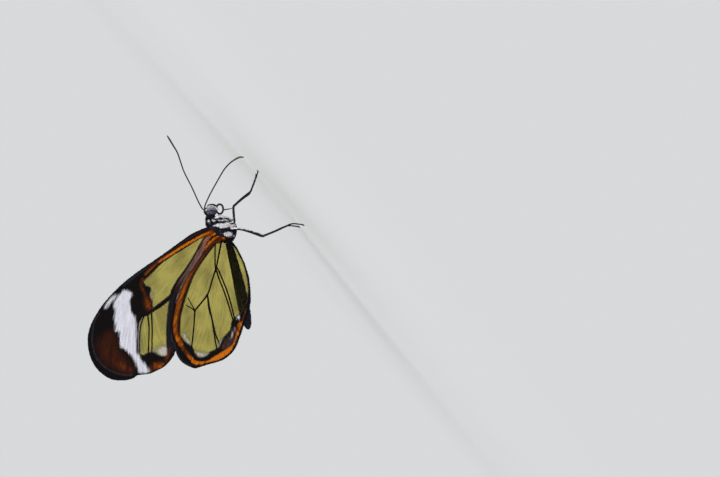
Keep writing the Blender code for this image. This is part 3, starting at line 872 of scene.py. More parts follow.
FORELEG_GIRTH = ((0.0, 0.16), (0.30, 0.17), (0.5, 0.13), (0.8, 0.11), (1.0, 0.06))
LIMB_SHARES = np.linspace(0.0, 1.0, 25)
THIGH_HEIGHT = 1.12             # of its breadth, and the shin's
FORELEG_HEIGHT = 1.1
SOLE = (0.11, 0.10, 0.09)
CLAW = ((-0.04, 0.02, 0.0), (0.08, 0.06, 0.0), (0.17, 0.09, -0.05), (0.21, 0.10, -0.12))    # ahead, aside, up
SPUR = 0.28                     # length of the two spurs at the shin's end
POINTED = (0.035, 0.008)        # radius of claws and spurs at their base and tip
LEG_SEED, FORELEG_SEED = 60, 80
LEG_COAT = (                    # kind, spacing, (length, half width, thickness, lift)
    ("scale", 0.085, (0.20, 0.050, 0.012, 0.020)),
    ("hair", 0.150, (0.17, 0.012, 0.012, 0.075)),
)
BRUSH_COAT = (
    ("scale", 0.080, (0.22, 0.050, 0.012, 0.030)),
    ("hair", 0.085, (0.36, 0.018, 0.018, 0.110)),
)


def leg_marks(points, thigh, all_white):
    """White along the front and under side of the thigh, or over a whole foreleg but for its back."""
    gap, along, _, foot = nearest_on(points, thigh)
    outward = (points - foot) / np.maximum(np.linalg.norm(points - foot, axis=1), 1e-6)[:, None]
    facing = outward @ np.array(FRONT_AND_DOWN)
    share = along / lengths_along(thigh)[-1]
    white = np.where(share < 0.50, (facing + 0.15 - share * 0.5) * 0.18, (facing - 0.62) * 0.12)
    white = np.where((share > 0.97) | (gap > 0.30), -1.0, white)
    if all_white:
        white = stroked(points, 0.16 + facing * 0.25)
    # A faint painted bluish sheen lies over the whole leg.
    return {"white": white, "bluish_sheen": np.full(len(points), 0.15), "abdomen": np.zeros(len(points))}


def kept_above_floor(mesh):
    points = points_of(mesh)
    points[:, 2] = np.maximum(points[:, 2], 0.0)
    put_points(mesh, points)


def leg_coat(name, skin, route, coat, marks_of, seed):
    """Plants scales and stiff hairs on a leg, lying towards the foot."""
    for number, (kind, spacing, (length, half_width, thickness, lift)) in enumerate(coat):
        roots, facing, random = scattered(*skin, spacing, seed + number)
        _, along, tangent, foot = nearest_on(roots, route)
        around = np.arctan2((roots - foot)[:, 1], (roots - foot)[:, 2])
        sizes = {"length": length * random.uniform(0.75, 1.2, len(roots)), "half_width": half_width,
                 "thickness": thickness, "lift": lift * random.uniform(0.6, 1.2, len(roots))}
        lie = tangent + random.normal(0.0, 0.10, roots.shape)
        unwrap = unwrapped(along, along.max(), around)
        planted = plant(f"{name}_{kind}s", kind, roots, facing, lie, sizes, marks_of(roots), unwrap)
        kept_above_floor(planted)
        put_piece(f"{name}_{kind}s", planted, scaly, (), kind == "hair")


for number, (pair, segments) in enumerate(LEGS.items()):
    for side_name, side in SIDES:
        thigh, shin, foot = [smooth_line([on_side(point, side) for point in segment], 8)
                             for segment in segments]
        bm = bmesh.new()
        for line, girth in ((thigh, THIGH_GIRTH), (shin, SHIN_GIRTH)):
            radii = read_off(girth, LIMB_SHARES)
            sweep(bm, line_at(line, LIMB_SHARES), radii, radii * THIGH_HEIGHT, 12)
        jointed(bm, foot, 5, FOOT_GIRTH, 12, 0.80)
        tip = Vector(foot[-1])
        ahead = Vector(foot[-1] - foot[-3]).normalized()
        level = Vector((ahead.x, ahead.y, 0.0)).normalized()
        aside = level.cross(Vector((0.0, 0.0, 1.0)))
        ball(bm, tip, SOLE, 0.0, 2)
        ankle = Vector(shin[-1])
        onward = Vector(foot[8] - foot[0]).normalized()
        for spread in (-1.0, 1.0):
            claw = [tip + level * reach + aside * spread * out + Vector((0.0, 0.0, rise))
                    for reach, out, rise in CLAW]
            radii = np.linspace(*POINTED, 10)
            sweep(bm, smooth_line(claw, 3), radii, radii, 8)
            spur = [ankle + aside * spread * 0.05, ankle + aside * spread * 0.13 + onward * SPUR]
            sweep(bm, spur, POINTED, POINTED, 8)
        leg = mesh_of(bm, f"leg_{pair}_{side_name}")
        kept_above_floor(leg)
        put_marks(leg, leg_marks(points_of(leg), thigh, False))
        route = np.vstack([thigh[::4], shin[::4], foot[::4]])
        leg_coat(f"leg_{pair}_{side_name}", skin_of(leg), route, LEG_COAT,
                 lambda roots: leg_marks(roots, thigh, False), LEG_SEED + 4 * number)
        put_piece(f"leg_{pair}_{side_name}", leg, scaly,
                  [f"{pair}_{segment}_{side_name}" for segment in ("femur", "tibia", "tarsus")])
for side_name, side in SIDES:
    line = smooth_line([on_side(point, side) for point in FORELEG], 8)
    bm = bmesh.new()
    radii = read_off(FORELEG_GIRTH, LIMB_SHARES)
    sweep(bm, line_at(line, LIMB_SHARES), radii, radii * FORELEG_HEIGHT, 12)
    foreleg = mesh_of(bm, f"foreleg_{side_name}_brush")
    put_marks(foreleg, leg_marks(points_of(foreleg), line, True))
    leg_coat(f"foreleg_{side_name}_brush", skin_of(foreleg), line[::4], BRUSH_COAT,
             lambda roots: leg_marks(roots, line, True), FORELEG_SEED)
    put_piece(f"foreleg_{side_name}_brush", foreleg, scaly, (f"foreleg_{side_name}",))

# The wings: clear membranes of thin horn, stiffened by veins, with scales on the borders and bands.
# Each is a thin shell on ribs between its leading and trailing edges, inside the 0.5 mm solid.
# Colours come from distances to outlines and lines, in millimetres of span and chord from the hinge.
SHELL = 0.06                    # the membrane's thickness
RIM_INSET = 0.10                # room for the fringe
RIBS = 170
RIB_STEPS = 64
OUTER_FAN = (10.5, 17.0)        # where along the forewing the scales turn from the inner fan to the outer
FAR_OFF = 9.0                   # a distance beyond all marks
VEIN_TOP = -0.2                 # the vein value of the raised veins
WING_SEED = 40
FOREWING = {
    "hinge": (-0.10, 10.95), "lean": 8.6, "apex": 12,       # apex: which point of the edge is the tip
    "standoff": ((-0.6, 0.80), (0.5, 0.98), (1.4, 1.12), (5.0, 1.08), (15.0, 0.84), (29.0, 0.55)),
    "rim": (0.10, 0.26),        # black margin in front and behind
    "fans": ((-6.0, -1.0, 18.0), (10.9, -7.1, 12.0)),       # middles of the veins' fans, streaks to a radian
    "edge": (
        (-0.4, -0.60), (0.4, -1.45), (1.6, -2.05), (3.4, -2.75), (8.3, -3.85), (13.0, -5.00), (16.2, -5.55),
        (19.7, -5.70), (22.7, -5.30), (24.8, -4.60), (26.4, -3.50), (27.7, -1.90), (28.5, 0.00),
        (28.6, 1.90), (28.2, 3.40), (27.1, 4.80), (26.0, 5.60), (25.1, 5.85), (23.8, 7.00), (22.6, 7.60),
        (21.6, 8.00), (20.5, 8.15), (19.4, 8.05), (18.4, 7.70), (15.2, 5.10), (10.5, 2.30), (5.0, 1.35),
        (1.8, 0.95), (-0.5, 0.60),
    ),
    "windows": (
        ((1.19, -0.63), (1.97, -0.97), (3.15, -1.42), (5.32, -2.02), (7.84, -2.79), (9.69, -3.16),
         (11.06, -3.24), (12.17, -3.31), (13.23, -3.42), (13.56, -3.35), (13.85, -2.61), (13.62, -1.87),
         (14.00, -1.46), (14.58, -1.22), (14.77, -0.70), (14.94, -0.27), (15.60, 0.30), (15.85, 0.62),
         (14.16, 1.02), (12.28, 1.30), (11.60, 1.00), (9.79, 0.60), (7.34, 0.36), (5.02, -0.01),
         (3.07, -0.50), (2.00, -0.66)),
        ((17.16, 0.42), (16.80, 0.62), (15.91, 0.90), (14.31, 1.36), (12.73, 1.66), (13.65, 2.22),
         (15.12, 3.28), (16.56, 4.38), (18.54, 6.16), (19.00, 6.60), (19.57, 7.12), (19.97, 7.12),
         (20.53, 6.47), (20.81, 5.50), (20.96, 5.09), (21.67, 4.68), (22.32, 4.47), (22.49, 3.90),
         (22.32, 3.45), (21.60, 2.65), (20.40, 1.60), (19.40, 0.80), (18.58, 0.30), (17.74, 0.24)),
    ),
    "white_fade": (             # line, amount, how far to its sides
        ((16.85, -2.68), (18.04, -1.42), (18.74, -0.07), (20.45, 1.55), (22.21, 3.11)), 0.30, 0.9,
    ),
    "whites": (                 # outline, how much thinner its scales are than full white
        (((17.12, -4.71), (16.35, -4.63), (15.92, -3.79), (16.19, -3.31), (16.84, -2.82), (17.47, -2.14),
          (18.02, -1.51), (18.13, -0.66), (18.65, -0.03), (19.24, 0.56), (20.47, 1.78), (21.28, 2.52),
          (22.00, 3.14), (22.56, 3.85), (22.87, 4.81), (23.01, 5.70), (23.26, 6.46), (23.65, 6.60),
          (24.45, 5.70), (24.15, 4.88), (23.70, 4.02), (23.45, 3.22), (23.20, 2.42), (23.30, 0.95),
          (22.95, 0.30), (22.22, -0.48), (21.65, -1.06), (22.05, -1.50), (21.57, -1.91), (20.70, -2.83),
          (19.85, -3.45), (19.30, -4.20), (18.58, -4.74)), 0.0),
        (((17.67, -5.10), (18.29, -4.90), (19.30, -4.92), (20.35, -4.89), (20.33, -5.13), (19.59, -5.40),
          (18.42, -5.40)), 0.0),
    ),
    "frost_patches": (          # outline, softness, amount
        (((20.27, 5.57), (19.54, 5.56), (18.98, 5.89), (18.72, 6.42), (19.57, 7.17), (19.97, 7.17),
          (20.44, 6.56)), 0.45, 1.0),
        (((21.60, 4.70), (20.40, 4.90), (19.00, 5.30), (19.30, 6.00), (20.60, 5.90), (21.60, 5.10)),
         0.60, 0.35),
        (((17.40, 0.35), (18.50, 0.45), (19.60, 1.10), (21.20, 2.40), (22.20, 3.60), (21.60, 3.30),
          (20.00, 1.90), (18.40, 0.80)), 0.35, 0.55),
        (((14.16, -1.42), (13.62, -1.15), (14.15, -0.57), (14.75, -0.19), (14.75, -0.65)), 0.35, 0.40),
    ),
    "warm_lines": (             # points, half width, amount
        (((-0.18, -0.30), (0.85, -0.76), (1.77, -1.16), (3.39, -1.74), (5.06, -2.27), (7.21, -2.88),
          (9.32, -3.49)), 0.18, 1.0),
        (((7.21, -2.90), (9.32, -3.50), (10.95, -3.72), (12.28, -3.80)), 0.20, 0.60),
        (((13.10, -3.65), (14.04, -3.21), (14.62, -2.04), (15.34, -0.73)), 0.25, 0.34),
        (((0.85, -1.12), (3.16, -2.10), (6.96, -3.24), (10.72, -4.05)), 0.11, 0.42),
    ),
    "warm_patches": (           # outline, softness, amount
        (((15.17, -1.49), (14.83, -1.22), (14.93, -0.51), (15.17, -0.07), (15.76, 0.46), (16.25, 0.14),
          (16.21, -0.53), (15.69, -1.13)), 0.55, 0.54),
        (((22.30, 6.11), (21.65, 6.38), (20.82, 7.32), (20.97, 7.87), (21.53, 7.94), (22.45, 7.50),
          (23.24, 6.95), (23.16, 6.56)), 0.35, 0.55),
        (((21.80, 6.92), (21.12, 7.58), (21.42, 7.95), (22.22, 7.51)), 0.40, 0.80),
        (((18.66, 6.45), (18.35, 6.80), (19.28, 7.41), (20.40, 7.70), (20.40, 7.20)), 0.30, 0.42),
        (((24.18, -2.45), (22.58, -2.02), (22.67, -0.72), (23.92, 0.99), (24.20, 2.77), (24.89, 4.61),
          (25.92, 4.30), (26.61, 2.46), (26.88, 0.41), (26.46, -1.03), (25.49, -2.20)), 0.9, 0.28),
        (((24.90, 2.00), (24.70, 4.40), (25.60, 4.60), (26.30, 3.00), (26.20, 1.20)), 0.6, 0.38),
        (((-0.40, -0.90), (1.20, -0.90), (2.20, -0.55), (3.40, 0.10), (4.60, 0.50), (4.20, 1.00),
          (0.80, 0.60), (-0.40, 0.30)), 0.3, 1.0),
    ),
    "inner_zone": (             # where the lie fans out from the hinge, and not from the cell's end
        (-2.0, -9.0), (15.4, -9.0), (15.4, -4.2), (15.6, -3.2), (16.2, -1.8), (17.2, -0.6), (17.5, 0.35),
        (16.34, 0.75), (14.3, 1.18), (12.31, 1.45), (15.0, 3.6), (17.4, 5.9), (19.5, 9.0), (-2.0, 9.0),
    ),
    # Painted sheen: bluish grey lines on the black along the tip's margin and the leading edge, and a painted
    # highlight line along the inner edge.
    "wing_sheen_lines": (
        (((21.47, -5.20), (23.04, -4.88), (24.26, -4.18), (25.63, -3.12), (26.54, -2.00), (27.19, -0.76),
          (27.39, 0.94), (27.02, 2.76), (26.23, 4.26), (25.48, 5.02)), 0.08, 0.40),
        (((0.4, -1.2), (3.4, -2.45), (8.3, -3.55), (13.0, -4.70), (16.0, -5.25)), 0.10, 0.35),
        (((14.6, 3.7), (16.2, 5.0), (17.4, 6.1)), 0.10, 1.0),
    ),
    # Painted sheen: a bluish grey cast over the black band along the inner edge.
    "wing_sheen_patches": (
        (((12.97, 1.57), (13.98, 2.16), (15.75, 3.65), (17.48, 5.18), (18.73, 6.37), (19.09, 6.84),
          (18.56, 7.44), (17.19, 6.38), (15.03, 4.47), (13.37, 2.85), (11.75, 1.73)), 0.3, 0.22),
    ),
    "mauve_patches": (          # outline, softness, amount, where along the wing it fades
        (((1.60, -0.50), (3.07, -0.40), (5.02, 0.12), (7.34, 0.50), (9.79, 0.80), (12.00, 1.45),
          (12.30, 2.20), (9.00, 1.90), (6.00, 1.30), (3.00, 0.70), (1.00, 0.30)), 0.15, 0.85, 5.0, 12.5),
    ),
    "veins": (                  # points, half width at the base, half width at the end
        (((-0.2, -0.75), (0.5, -1.30), (1.7, -1.88), (3.4, -2.56), (8.3, -3.67), (13.0, -4.80),
          (16.2, -5.36), (19.7, -5.52), (22.6, -5.14)), 0.17, 0.08),
        (((0.1, -0.55), (1.54, -1.48), (3.16, -2.05), (6.96, -3.20), (10.72, -4.02), (12.77, -4.15),
          (15.8, -4.45)), 0.10, 0.08),
        (((0.2, -0.20), (2.2, -0.58), (5.0, 0.05), (7.4, 0.45), (9.8, 0.72), (12.31, 1.45)), 0.08, 0.10),
        (((15.4, -4.2), (15.6, -3.2), (16.2, -1.8), (17.2, -0.6), (17.5, 0.35), (16.34, 0.75), (14.3, 1.18),
          (12.31, 1.45)), 0.09, 0.10),
        (((12.31, 1.45), (15.0, 3.60), (17.4, 5.90), (18.9, 7.40)), 0.10, 0.07),
        (((1.0, 0.10), (5.0, 0.85), (10.5, 2.00), (14.0, 4.00)), 0.10, 0.06),
        (((16.12, 0.69), (18.19, 2.69), (21.20, 5.29), (22.9, 6.9)), 0.08, 0.05),
        (((17.15, 0.87), (18.51, 2.33), (21.28, 4.65), (23.6, 6.7)), 0.08, 0.05),
        (((17.38, 0.36), (18.68, 0.85), (20.21, 1.88), (22.01, 3.45), (24.6, 5.7)), 0.08, 0.05),
        (((17.2, -0.8), (20.0, -0.1), (23.0, 1.9), (26.3, 4.9)), 0.06, 0.04),
        (((16.6, -2.0), (20.0, -2.1), (24.0, -0.5), (27.9, 2.6)), 0.06, 0.04),
        (((15.9, -3.9), (20.0, -3.7), (24.0, -2.6), (28.2, 0.0)), 0.07, 0.04),
        (((15.8, -4.3), (20.0, -4.6), (24.0, -3.9), (27.3, -2.1)), 0.07, 0.04),
    ),
}
HINDWING = {
    "hinge": (-1.76, 10.71), "lean": 34.9, "apex": 11,
    "standoff": ((-0.7, 0.95), (0.2, 1.20), (1.0, 1.76), (7.0, 1.67), (21.0, 1.40)),
    "rim": (0.24, 0.38),
    "fans": ((-1.2, -0.3, 12.0),),
    "edge": (
        (-0.6, -1.00), (0.9, -2.35), (4.0, -3.05), (6.8, -4.00), (9.6, -4.60), (12.7, -4.75), (15.3, -4.45),
        (17.2, -3.70), (19.0, -2.75), (20.0, -2.00), (20.6, -1.10), (20.9, 0.00), (20.95, 1.00),
        (20.5, 1.80), (19.8, 2.90), (19.1, 4.10), (18.4, 5.00), (17.2, 5.90), (16.0, 6.35), (14.7, 6.50),
        (12.0, 6.65), (9.1, 6.75), (7.5, 6.40), (5.3, 5.60), (4.05, 4.90), (2.85, 4.10), (1.8, 3.10),
        (0.9, 2.40), (-0.3, 1.00), (-0.6, 0.40),
    ),
    "windows": (
        ((1.12, -1.04), (2.89, -1.81), (4.80, -2.53), (6.81, -3.07), (8.75, -3.32), (10.64, -3.43),
         (12.21, -3.47), (13.76, -3.43), (15.23, -3.11), (16.66, -2.65), (17.35, -1.76), (17.67, -0.90),
         (18.04, -0.25), (18.81, 0.35), (19.20, 1.23), (18.60, 2.31), (18.05, 2.62), (17.38, 3.38),
         (16.79, 3.84), (15.66, 4.00), (14.78, 4.38), (13.71, 4.87), (12.35, 4.73), (11.65, 5.12),
         (10.88, 5.66), (9.80, 6.02), (8.46, 6.16), (7.21, 6.02), (5.71, 5.55), (3.99, 4.68), (2.46, 3.70),
         (1.28, 2.62), (0.65, 1.60), (0.44, 0.45), (0.65, -0.31)),
    ),
    "whites": (
        (((11.10, 5.10), (11.55, 5.20), (11.50, 5.55), (11.15, 5.50)), 0.0),
        (((14.90, 5.02), (13.60, 5.24), (13.10, 5.22), (13.60, 5.36), (14.60, 5.20)), 0.10),
    ),
    "frost_patches": (
        (((16.20, -2.40), (17.05, -1.75), (17.60, -0.75), (17.30, -0.75), (16.75, -1.35), (16.10, -2.00)),
         0.30, 0.80),
        (((18.30, 0.30), (18.95, 0.95), (18.95, 1.90), (18.20, 2.50), (18.20, 1.70), (18.35, 1.00)),
         0.35, 0.80),
        (((16.60, 3.30), (15.75, 3.65), (15.30, 3.95), (16.00, 3.95), (16.70, 3.70)), 0.25, 0.50),
    ),
    "warm_lines": (
        (((1.09, -1.66), (2.50, -2.22), (4.20, -2.78), (5.83, -3.20), (7.36, -3.60), (8.69, -3.84),
          (10.20, -3.96), (11.50, -4.04), (12.70, -3.99), (13.70, -3.94), (15.25, -3.65), (16.39, -3.21)),
         0.40, 0.64),
        (((16.23, -3.28), (17.10, -2.70), (17.75, -2.10)), 0.34, 0.70),
        (((17.75, -2.10), (18.40, -1.45), (19.12, -0.41)), 0.30, 0.42),
        (((19.12, -0.41), (19.60, 0.25), (19.92, 0.85)), 0.28, 0.70),
        (((19.86, 0.40), (19.80, 1.40), (19.30, 2.68), (18.70, 3.55)), 0.24, 0.86),
        (((12.20, 6.10), (11.42, 6.22), (9.81, 6.30)), 0.16, 0.50),
    ),
    "warm_patches": (
        (((19.10, 2.75), (18.29, 3.29), (17.18, 4.33), (15.80, 5.60), (15.30, 6.40), (16.40, 6.40),
          (17.60, 5.70), (18.60, 4.60), (19.40, 3.40)), 0.12, 1.0),
        (((16.00, 5.50), (15.24, 5.66), (13.81, 5.70), (12.94, 5.47), (12.01, 5.65), (11.80, 6.50),
          (14.30, 6.50), (16.20, 6.40)), 0.12, 0.84),
        (((0.15, -2.20), (-0.62, -0.42), (-0.14, 0.20), (0.70, -0.60), (1.40, -1.45), (2.90, -2.44),
          (1.40, -2.60)), 0.2, 0.88),
    ),
    # Painted highlight: a pinkish line of light along the leading edge.
    "mauve_lines": (
        (((0.96, -2.30), (3.86, -2.90), (5.59, -3.48), (7.74, -4.06), (9.72, -4.44), (11.61, -4.52)),
         0.09, 0.95),
    ),
    # Painted sheen: a bluish grey line along the outer margin.
    "wing_sheen_lines": (
        (((17.6, -3.2), (19.26, -2.30), (20.33, -1.0), (20.6, 0.3)), 0.12, 0.30),
    ),
    "mauve_patches": (
        (((16.57, 4.09), (15.44, 4.25), (14.04, 4.80), (12.87, 5.11), (13.23, 5.51), (14.68, 5.80),
          (15.85, 5.50), (16.74, 4.60)), 0.2, 0.18),
    ),
    "veins": (
        (((4.66, 0.05), (6.98, -0.05), (9.26, -0.18), (12.22, -1.42)), 0.10, 0.10),
        (((12.22, -1.42), (15.04, -0.85), (18.10, -0.38), (18.90, -0.30)), 0.09, 0.08),
        (((12.22, -1.42), (10.57, -2.99)), 0.045, 0.03),
        (((12.22, -1.42), (11.73, -3.05)), 0.045, 0.03),
        (((0.2, -0.55), (1.12, -1.10), (2.89, -1.90), (4.80, -2.62), (6.81, -3.16), (8.75, -3.42),
          (10.64, -3.53), (12.21, -3.57), (13.76, -3.53), (15.23, -3.21), (16.66, -2.75)), 0.075, 0.05),
        (((-0.2, -0.45), (1.4, -1.60), (4.1, -2.82), (6.8, -3.84), (9.6, -4.42), (12.7, -4.57),
          (15.2, -4.28)), 0.10, 0.06),
        (((-0.2, 0.80), (0.95, 2.27), (2.85, 3.98), (5.3, 5.47), (7.5, 6.27), (9.1, 6.60)), 0.07, 0.06),
    ),
    "own_veins": {              # the three that lie a little apart on the two wings, as in the photograph
        "right": ((((0.2, -0.25), (1.48, -0.20), (2.95, -0.08), (4.66, 0.05)), 0.12, 0.10),
                  (((4.66, 0.05), (5.51, 0.80), (7.89, 2.63), (9.87, 3.85), (11.36, 4.68), (13.3, 5.80)),
                   0.10, 0.09),
                  (((9.26, -0.18), (11.38, 0.65), (12.64, 1.43), (14.50, 2.26), (17.20, 3.50)),
                   0.10, 0.09)),
        "left": ((((0.0, -1.20), (1.37, -1.03), (3.07, -0.62), (4.81, -0.10)), 0.09, 0.09),
                 (((4.81, -0.10), (6.56, 1.07), (8.04, 2.18), (10.02, 3.50), (11.91, 4.67), (13.3, 5.60)),
                  0.10, 0.09),
                 (((9.26, -0.18), (11.26, 0.72), (12.99, 1.63), (15.11, 2.78), (16.80, 4.10)), 0.10, 0.09)),
    },
}


def wing_outline(wing):
    """The wing's edge, drawn in from the solid's by the room that the fringe takes."""
    outline = smooth_line(wing["edge"], 4, ring=True)
    ahead = np.roll(outline, -1, axis=0) - np.roll(outline, 1, axis=0)
    inward = unit(np.column_stack([ahead[:, 1], -ahead[:, 0]]))
    if inside(outline[:1] + inward[:1] * RIM_INSET, outline)[0] < 0.0:
        inward = -inward
    return outline + inward * RIM_INSET, -inward


def wing_lie(wing, points):
    """Place across the fan of the veins, and the direction of the scales, which fan out as the veins do."""
    span, chord = points.T
    across, along = [], []
    for middle_span, middle_chord, streaks in wing["fans"]:
        ray = np.column_stack([np.maximum(span - middle_span, 0.5), chord - middle_chord])
        across.append(np.arctan2(ray[:, 1], ray[:, 0]) * streaks)
        along.append(unit(ray))
    if len(along) == 1:
        return across[0], along[0]
    tipward = smoothstep(span, *OUTER_FAN)[:, None]
    inner = inside(points, wing["inner_zone"]) > 0.0
    return np.where(inner, *across), unit(along[0] * (1.0 - tipward) + along[1] * tipward)


def veins_of(wing, side_name):
    """The veins of both wings of a pair, and those in a place of their own on this one."""
    return wing["veins"] + wing.get("own_veins", {}).get(side_name, ())


def black_margin(wing, chord):
    """How far the black margin reaches in from the edge, in front and behind."""
    return wing["rim"][0] + (wing["rim"][1] - wing["rim"][0]) * smoothstep(chord, 0.0, 3.0)


def wing_marks(wing, side_name, points, vein=None):
    """Distances and amounts that the wing finish turns into colours; vein is set on the veins themselves."""
    outline, _ = wing_outline(wing)
    edge = inside(points, outline) - black_margin(wing, points[:, 1])
    clear = np.full(len(points), -FAR_OFF)
    for window in wing["windows"]:
        clear = np.maximum(clear, inside(points, smooth_line(window, 3, ring=True)))
    white = np.full(len(points), -FAR_OFF)
    for mark, thin in wing["whites"]:
        white = np.maximum(white, inside(points, smooth_line(mark, 3, ring=True)) - thin)
    if "white_fade" in wing:
        line, most, reach = wing["white_fade"]
        white = white - most * smoothstep(nearest_on(points, line)[0], reach, 0.0)
    amounts = {}
    # The sheen amount is painted sheen, and the mauve lines are a painted highlight.
    for hue in ("warm", "wing_sheen", "mauve", "frost"):
        amount = np.zeros(len(points))
        for line, half, most in wing.get(hue + "_lines", ()):
            gap = nearest_on(points, smooth_line(line, 4))[0]
            amount = np.maximum(amount, most * smoothstep(half - gap, -0.10, 0.06))
        for patch, softness, most, *fade in wing.get(hue + "_patches", ()):
            depth = inside(points, smooth_line(patch, 3, ring=True))
            if fade:
                most = most * (1.0 - smoothstep(points[:, 0], *fade))
            amount = np.maximum(amount, most * smoothstep(depth, -softness, softness))
        amounts[hue] = amount
    if vein is None:
        vein = np.full(len(points), FAR_OFF)
        for line, base, end in veins_of(wing, side_name):
            line = smooth_line(line, 4)
            gap, along, _, _ = nearest_on(points, line)
            vein = np.minimum(vein, gap - (base + (end - base) * along / lengths_along(line)[-1]))
    lie = np.column_stack([points[:, 0], wing_lie(wing, points)[0], np.zeros(len(points))])
    return {"edge": edge, "clear": clear, "white": white, "vein": vein, "lie": lie, **amounts}


def wing_to_body(wing, side, local):
    """Carries span, chord and height out from the wing's middle to the butterfly's own axes.

    The standoff is the wing's place aside of the body; shallow pleats fan out from the hinge.
    """
    span, chord, height = local.T
    pleats = 0.035 * np.sin(np.arctan2(chord + 0.8, span + 4.0) * 34.0)
    reach = read_off(wing["standoff"], span) + height + pleats
    along, up = wing["hinge"]
    tilt = math.radians(wing["lean"])
    return np.column_stack([along - math.sin(tilt) * span - math.cos(tilt) * chord, -side * reach,
                            up + math.cos(tilt) * span - math.sin(tilt) * chord])


def turned_out(mesh):
    """Points the faces outwards again, after a move that may have turned the shapes over."""
    bm = bmesh.new()
    bm.from_mesh(mesh)
    bmesh.ops.recalc_face_normals(bm, faces=bm.faces)
    bm.to_mesh(mesh)
    bm.free()


def membrane(wing, name):
    """A closed thin shell on ribs that run from the leading edge to the trailing edge, root to tip."""
    outline, _ = wing_outline(wing)
    leading = outline[:4 * wing["apex"] + 1]
    trailing = outline[4 * wing["apex"]:4 * (len(wing["edge"]) - 1) + 1][::-1]
    bm = bmesh.new()
    bmesh.ops.create_grid(bm, x_segments=RIB_STEPS, y_segments=RIBS, size=0.5)
    shares = [vert.co.y + 0.5 for vert in bm.verts]
    for vert, front, back in zip(bm.verts, line_at(leading, shares), line_at(trailing, shares)):
        across = vert.co.x + 0.5
        span, chord = front * (1.0 - across) + back * across
        vert.co = (span, chord, -SHELL / 2)
    bmesh.ops.remove_doubles(bm, verts=bm.verts, dist=0.004)
    made = bmesh.ops.extrude_face_region(bm, geom=bm.faces[:])
    lifted = [item for item in made["geom"] if isinstance(item, bmesh.types.BMVert)]
    bmesh.ops.translate(bm, vec=(0.0, 0.0, SHELL), verts=lifted)
    return mesh_of(bm, name)


def vein_tubes(wing, side_name, name):
    """Raised veins, half sunk in the membrane: one tapered tube along each line."""
    curves = bpy.data.curves.new(name, "CURVE")
    curves.dimensions = "3D"
    curves.bevel_depth = 1.0
    curves.bevel_resolution = 2
    curves.use_fill_caps = True
    for line, base, end in veins_of(wing, side_name):
        line = smooth_line(line, 6)
        spline = curves.splines.new("POLY")
        spline.points.add(len(line) - 1)
        for index, (point, (span, chord)) in enumerate(zip(spline.points, line)):
            point.co = (span, chord, 0.0, 1.0)
            point.radius = base + (end - base) * index / (len(line) - 1)
    holder = bpy.data.objects.new(name, curves)
    bpy.context.scene.collection.objects.link(holder)
    mesh = bpy.data.meshes.new_from_object(holder.evaluated_get(bpy.context.evaluated_depsgraph_get()))
    bpy.data.objects.remove(holder)
    bm = bmesh.new()
    bm.from_mesh(mesh)
    bmesh.ops.remove_doubles(bm, verts=bm.verts, dist=0.001)
    return mesh_of(bm, name)


SCALE_ROW = 0.17
SCALE_COLUMN = 0.12
WING_SCALE = (0.30, 0.085, 0.016)       # length, half width, thickness
FRINGE_STEP = 0.05
FRINGE_LENGTH = (0.14, 0.20)
FRINGE_FROM = 0.8                       # no fringe nearer to the hinge than this


